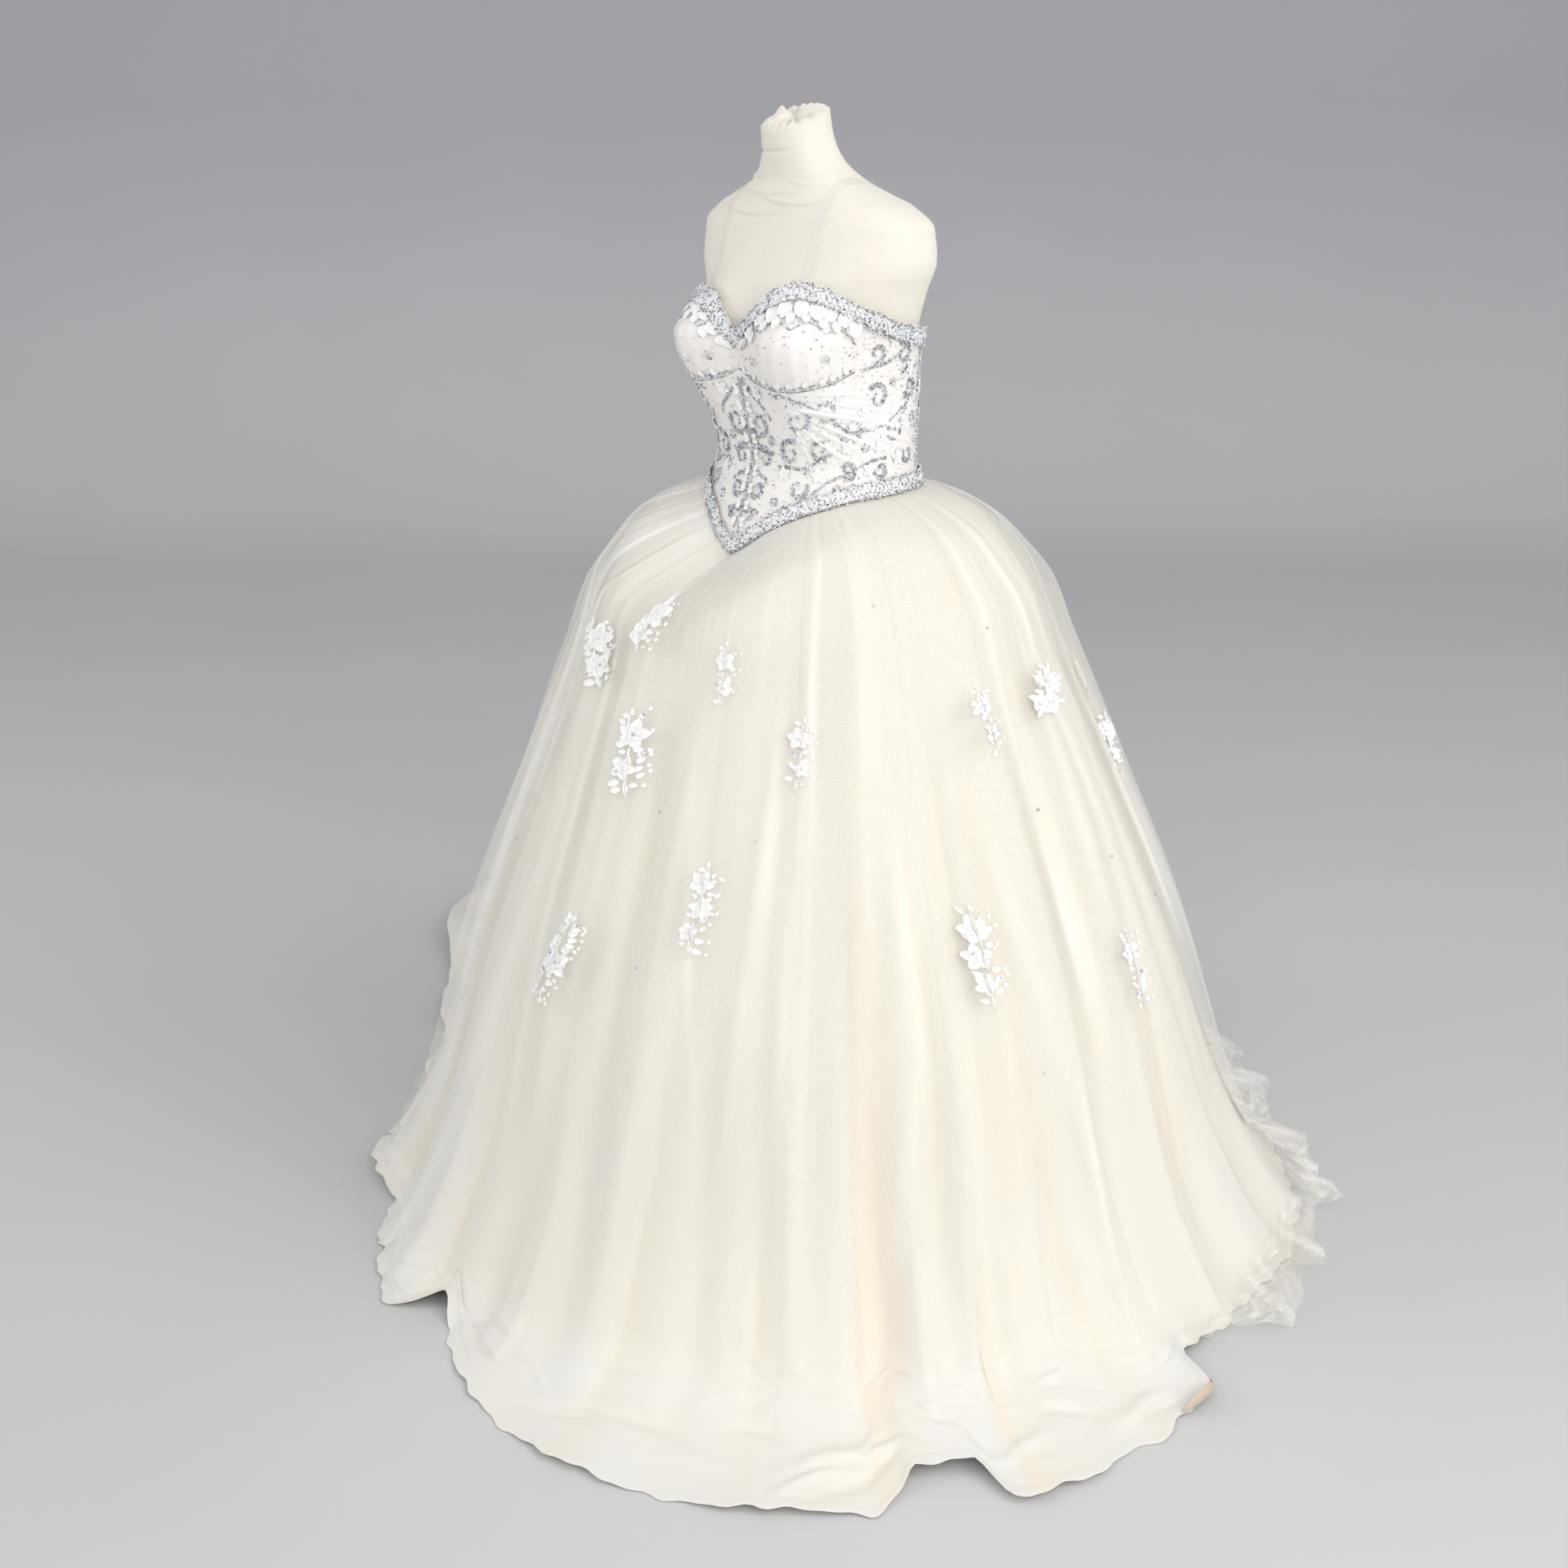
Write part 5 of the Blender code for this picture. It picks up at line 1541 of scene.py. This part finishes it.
def crumple(turn, reach, seed):
    """Small rough creases in net that lies on the floor."""
    draw = np.random.default_rng(seed)
    total = 0.0
    for _ in range(9):
        around, away, phase = [draw.uniform(*span) for span in CRUMPLE_WAVES]
        total = total + np.abs(np.sin(around * np.radians(turn) + away * reach + phase))
    return total / 9


def bunched(points, turn, ring=False):
    """From 0 where a layer is single and smooth to 1 where it is bunched or seen edge on."""
    normal = outward(points, ring)
    flat = points[..., :2] / np.linalg.norm(points[..., :2], axis=-1, keepdims=True)
    side = np.hypot(normal[..., 0], normal[..., 1])
    facing = np.abs((normal[..., :2] * flat).sum(-1)) / np.maximum(side, 1e-9)
    edge_on = np.clip((1 - facing) / 0.75, 0, 1) ** 1.2
    return np.clip(edge_on + small_folds(NET_BUNCHES, turn, points[..., 2]), 0, 1)


def spread_out(points):
    """How closely the net is gathered: 1 near the waist, less where it has spread out."""
    spread = 0.38 + 0.62 * np.clip((points[..., 2] - 0.16) / 0.52, 0, 1) ** 0.8
    heaped = np.clip((HEAP_HEIGHT - points[..., 2]) / HEAP_HEIGHT, 0, 1) * (
        np.hypot(points[..., 0], points[..., 1]) > BELL_FOOT)
    return np.maximum(spread, 1.15 * heaped)


def net_grid(turn, share, relief, frayed):
    """A layer of the overlay, crumpled and ragged where it lies on the floor."""
    points = skirt_grid(turn, share, TULLE_HEM, relief, NET_EASE)
    low = np.clip((share - 0.80) / 0.14, 0, 1) ** 2
    on_floor = np.clip((0.040 - TULLE_HEM.at(turn, "height")) / 0.025, 0, 1)
    reach = np.hypot(points[..., 0], points[..., 1])
    angle = np.radians(turn)
    ragged = frayed * (1 + 2.2 * on_floor) * (
        1.3 * np.sin(13 * angle + 900 * frayed) + 0.9 * np.sin(29 * angle + 1.7)
        + 0.5 * np.sin(53 * angle) + 0.15 * np.sin(97 * angle + 0.4))
    points[..., :2] *= (1 + low * ragged / reach)[..., None]
    points[..., 2] += low * (0.06 + on_floor) * CRUMPLE_TALL * (crumple(turn, reach, 4) - 0.25)
    points[..., 2] = np.maximum(points[..., 2], 0.0024)
    return points


def make_overlay():
    shares = spaced((0, 0.10, 20), (0.10, ON_BELL, 62), (ON_BELL, 1, 42))
    for number in range(TULLE_WIDTHS):
        start = FIRST_SEAM + 360 / TULLE_WIDTHS * number
        turns = np.linspace(start, start + 360 / TULLE_WIDTHS, TULLE_COLUMNS)[:, None]
        points = net_grid(turns, shares, overlay_relief, 0.0045)
        piece = sheet_mesh(f"tulle_{number + 1}_width", points, OUTER_NET,
                           gather=bunched(points, turns), fullness=spread_out(points))
        settle(piece, f"tulle_{number + 1}")
        lay_out(piece, 1.3, 1.5, "gathered")


def make_underlayer():
    shares = spaced((0, ON_BELL, 70), (ON_BELL, 1, 26))
    turns = all_round(420)

    def relief(turn, height):
        return small_folds(UNDER_PLEATS, turn, height) - 0.52 * satin_inside(turn, height)

    points = net_grid(turns, shares * 0.992, relief, 0.003)
    piece = sheet_mesh("tulle_underlayer", points, UNDER_NET, ring=True,
                       gather=bunched(points, turns, True), fullness=spread_out(points))
    settle(piece)
    lay_out(piece, 5.6, 1.5, "gathered")


make_overlay()
make_underlayer()


# ==== the lace appliques
# Flower and leaf sprays cut from corded white lace, each sewn to the overlay with a few
# clear stones. Petals, leaves and the joining stems lie slightly raised on the net.

APPLIQUES = Table(
    "number turn height wide long lean flowers leaves",
    (1, 4, 0.945, 0.054, 0.072, 8, 2, 4),
    (2, -12, 0.888, 0.066, 0.100, -22, 2, 7),
    (3, 25, 0.900, 0.042, 0.090, 0, 2, 3),
    (4, 7, 0.786, 0.062, 0.120, -8, 2, 7),
    (5, 41, 0.805, 0.044, 0.100, 6, 2, 4),
    (6, 78, 0.834, 0.050, 0.100, -10, 2, 5),
    (7, 97, 0.845, 0.062, 0.076, 30, 2, 5),
    (8, 124, 0.720, 0.050, 0.100, 20, 2, 5),
    (9, 26, 0.616, 0.054, 0.128, 6, 3, 6),
    (10, 2, 0.512, 0.060, 0.150, 20, 1, 12),
    (11, 69, 0.551, 0.060, 0.140, -4, 3, 5),
    (12, 98, 0.472, 0.046, 0.125, 0, 2, 7),
    (13, 150, 0.760, 0.058, 0.100, -15, 2, 6),
    (14, 172, 0.460, 0.056, 0.130, 12, 3, 6),
    (15, -68, 0.740, 0.056, 0.105, 18, 2, 6),
    (16, -98, 0.450, 0.056, 0.140, -15, 2, 8),
    (17, -140, 0.680, 0.058, 0.110, 12, 2, 7),
)


def overlay_top(turn, height):
    """Reach of the highest fold of the overlay close to each place."""
    reach = [bell_radius(turn + step, height, NET_EASE) + long_folds(turn + step, height)
             + overlay_relief(turn + step, height) for step in (-1.0, -0.5, 0.0, 0.5, 1.0)]
    return np.maximum.reduce(reach)


def on_overlay(row, flat):
    """Flat points (across, up, raised) of a spray, wrapped onto the overlay."""
    lean = math.radians(row["lean"])
    side = flat[:, 0] * math.cos(lean) + flat[:, 1] * math.sin(lean)
    up = flat[:, 1] * math.cos(lean) - flat[:, 0] * math.sin(lean)
    reach = float(overlay_top(np.array([row["turn"]]), np.array([row["height"]]))[0])
    turn = row["turn"] + np.degrees(side / reach)
    height = row["height"] + 0.90 * up
    return at_reach(turn, overlay_top(turn, height) + 0.0012 + flat[:, 2], height)


def spray_marks(row, draw):
    """Marks of the petals, leaves, buds and stem of one spray, and the places of its stones."""
    marks, stones = [], []
    wide, long = row["wide"], row["long"]
    flowers, leaves = int(row["flowers"]), int(row["leaves"])
    for index in range(flowers):
        share = (index + 0.5) / flowers
        middle = np.array((draw.uniform(-0.14, 0.14) * wide, (0.40 - 0.80 * share) * long))
        size = wide * (0.36, 0.30, 0.25)[min(index, 2)] * draw.uniform(0.92, 1.08)
        marks += flower_marks(middle, size, 5, draw.uniform(0, 1))
        stones.append(middle)
    for index in range(3 * leaves):
        side = 1 if index % 2 else -1
        up = long * (0.44 - 0.90 * (index + 0.5) / (3 * leaves))
        root = np.array((draw.uniform(0.02, 0.16) * wide * side, up))
        angle = -side * draw.uniform(0.7, 1.9)
        size = wide * draw.uniform(0.17, 0.27)
        marks.append((root, angle, 0.62 * size, size, 0.0002))
        way = np.array((-math.sin(angle), math.cos(angle)))
        if index % 2:
            bud = root + (size + 0.06 * wide) * way
            marks.append((bud, angle, 0.10 * wide, 0.10 * wide, 0.0006))
        if index % 5 == 1:
            stones.append(root + 0.7 * size * way)
    # the stem is a line of long thin leaves that overlap end to end
    for up in np.linspace(0.46, -0.30, 5):
        marks.append((np.array((0.03 * wide * math.sin(9 * up), up * long)), math.pi, 0.05 * wide,
                      0.24 * long, 0.0))
    for end, angle in ((0.46, 0.0), (-0.44, math.pi)):
        marks.append((np.array((0.0, end * long * 0.9)), angle, 0.10 * wide, 0.20 * wide, 0.0002))
    return marks, stones


def make_appliques():
    petal = make_petal_shape()
    draw = np.random.default_rng(23)
    stone_places, stone_ways = [], []
    for row in APPLIQUES.rows():
        name = f"applique_{int(row['number']):02d}"
        marks, stones = spray_marks(row, draw)
        piece, flat = grow_petals(name + "_lace", marks, petal)
        move_points(piece, on_overlay(row, flat))
        settle(piece, name)
        place = on_overlay(row, np.array([(x, y, 0.0030) for x, y in stones]))
        stone_places.append(place)
        stone_ways.append(place * np.array((1.0, 1.0, 0.3)))
    bpy.data.objects.remove(petal, do_unlink=True)
    # single stones are strewn over the overlay between the sprays
    strewn = np.array((
        (122, 0.889), (85, 0.940), (23, 0.491), (17, 0.529), (15, 0.716), (57, 0.984),
        (111, 0.536),
        (52, 0.970), (62, 0.952), (58, 0.205), (-14, 0.800), (18, 0.460), (34, 0.700), (88, 0.700),
        (46, 0.900), (12, 0.850), (100, 0.620), (-25, 0.600), (-50, 0.820), (-80, 0.640),
        (-60, 0.500), (-115, 0.800), (-120, 0.560), (-160, 0.500), (160, 0.620), (140, 0.880),
        (135, 0.540), (180, 0.700), (-150, 0.860), (-100, 0.900), (75, 0.400), (40, 0.420)))
    turn, height = strewn.T
    place = at_reach(turn, overlay_top(turn, height) + 0.0015, height)
    stone_places.append(place)
    stone_ways.append(place * np.array((1.0, 1.0, 0.3)))
    marks = marks_mesh([p[None] for group in stone_places for p in group],
                       [w[None] for group in stone_ways for w in group])
    stones = grown("overlay_stones", marks, SEW_SINGLY, Size=0.0046, Unevenness=0.2, Flatness=0.6,
                   Seed=61, Finish=STONE)
    settle(stones)


make_appliques()


# ==== the room
# A pale studio floor that curves up into a wall behind, painted greyer and bluer up the wall as
# painted shade, soft light, and the camera.

def make_plain(name, low, high, roughness):
    """A matt painted sweep, with painted shade that makes it a little darker and bluer up the wall
    than on the floor.
    """
    material, tree, shader = new_finish(name)
    height = add_node(tree, "ShaderNodeSeparateXYZ", {0: object_places(tree)}).outputs["Z"]
    uneven = blended(tree, clouds(tree, 0.9), (0.97, 0.97, 0.97), (1.0, 1.0, 1.0))
    painted = add_node(tree, "ShaderNodeMix", {
        "Factor": 1.0, 6: blended(tree, ranged(tree, height, 0.1, 1.5, 0, 1), low, high),
        7: uneven}, data_type="RGBA", blend_type="MULTIPLY")
    set_inputs(tree, shader, {"Base Color": painted.outputs[2], "Roughness": roughness,
                              "Specular IOR Level": 0.3})
    return material


FACING = 45.0             # the turn of the gown that faces the camera
WALL_AWAY = 5.7
COVE = 1.5


def make_room():
    # the second, darker and bluer colour is painted shade up the wall; floor and wall are one
    # sweep
    grey = make_plain("studio_grey", (0.595, 0.595, 0.590), (0.495, 0.495, 0.515), 0.7)
    bend = [(WALL_AWAY - COVE + COVE * math.sin(a), COVE - COVE * math.cos(a))
            for a in np.linspace(0, math.pi / 2, 24)]
    floor = [(-12.0, 0.0), (-6.0, 0.0), (0.0, 0.0), (3.0, 0.0)]
    profile = np.array(floor + bend + [(WALL_AWAY, 9.0)])[None]
    across = np.linspace(-12, 12, 9)
    angle = math.radians(FACING)
    sideways = np.array((math.cos(angle), math.sin(angle), 0.0))
    away = np.array((-math.sin(angle), math.cos(angle), 0.0))
    up = np.array((0.0, 0.0, 1.0))
    points = (across[:, None, None] * sideways + profile[:, :, 0:1] * away
              + profile[:, :, 1:2] * up)
    sheet_mesh("studio_sweep", points[::-1], grey)


def make_light(name, place, aim, size, power, colour):
    data = bpy.data.lights.new(name, "AREA")
    data.shape = "DISK"
    data.size = size
    data.energy = power
    data.color = colour
    lamp = add_object(name, data)
    lamp.location = place
    lamp.rotation_euler = (Vector(aim) - Vector(place)).to_track_quat("-Z", "Y").to_euler()


make_room()
make_light("key_softbox", (3.3, 1.2, 3.2), (0, 0, 0.8), 2.4, 45, (1.0, 0.99, 0.97))
make_light("right_softbox", (4.0, -1.0, 2.3), (0, 0, 0.8), 2.4, 49, (1.0, 0.99, 0.98))
make_light("left_softbox", (-2.6, -3.4, 2.4), (0, 0, 0.9), 2.4, 38, (1.0, 1.0, 1.0))
make_light("near_softbox", (2.6, -3.0, 2.6), (0, 0, 0.9), 2.4, 36, (1.0, 1.0, 1.0))

world = bpy.data.worlds.new("studio_air")
world.use_nodes = True
world.node_tree.nodes["Background"].inputs["Color"].default_value = (0.95, 0.96, 1.0, 1.0)
world.node_tree.nodes["Background"].inputs["Strength"].default_value = 0.68
bpy.context.scene.world = world
bpy.context.scene.view_settings.view_transform = "Standard"

camera_data = bpy.data.cameras.new("camera")
camera_data.lens = 48.387
camera_data.sensor_width = 36.0
camera = add_object("camera", camera_data)
camera.location = (2.0867, -2.1560, 1.65)
camera.rotation_euler = (math.radians(71.2), 0.0, math.radians(FACING))
bpy.context.scene.camera = camera
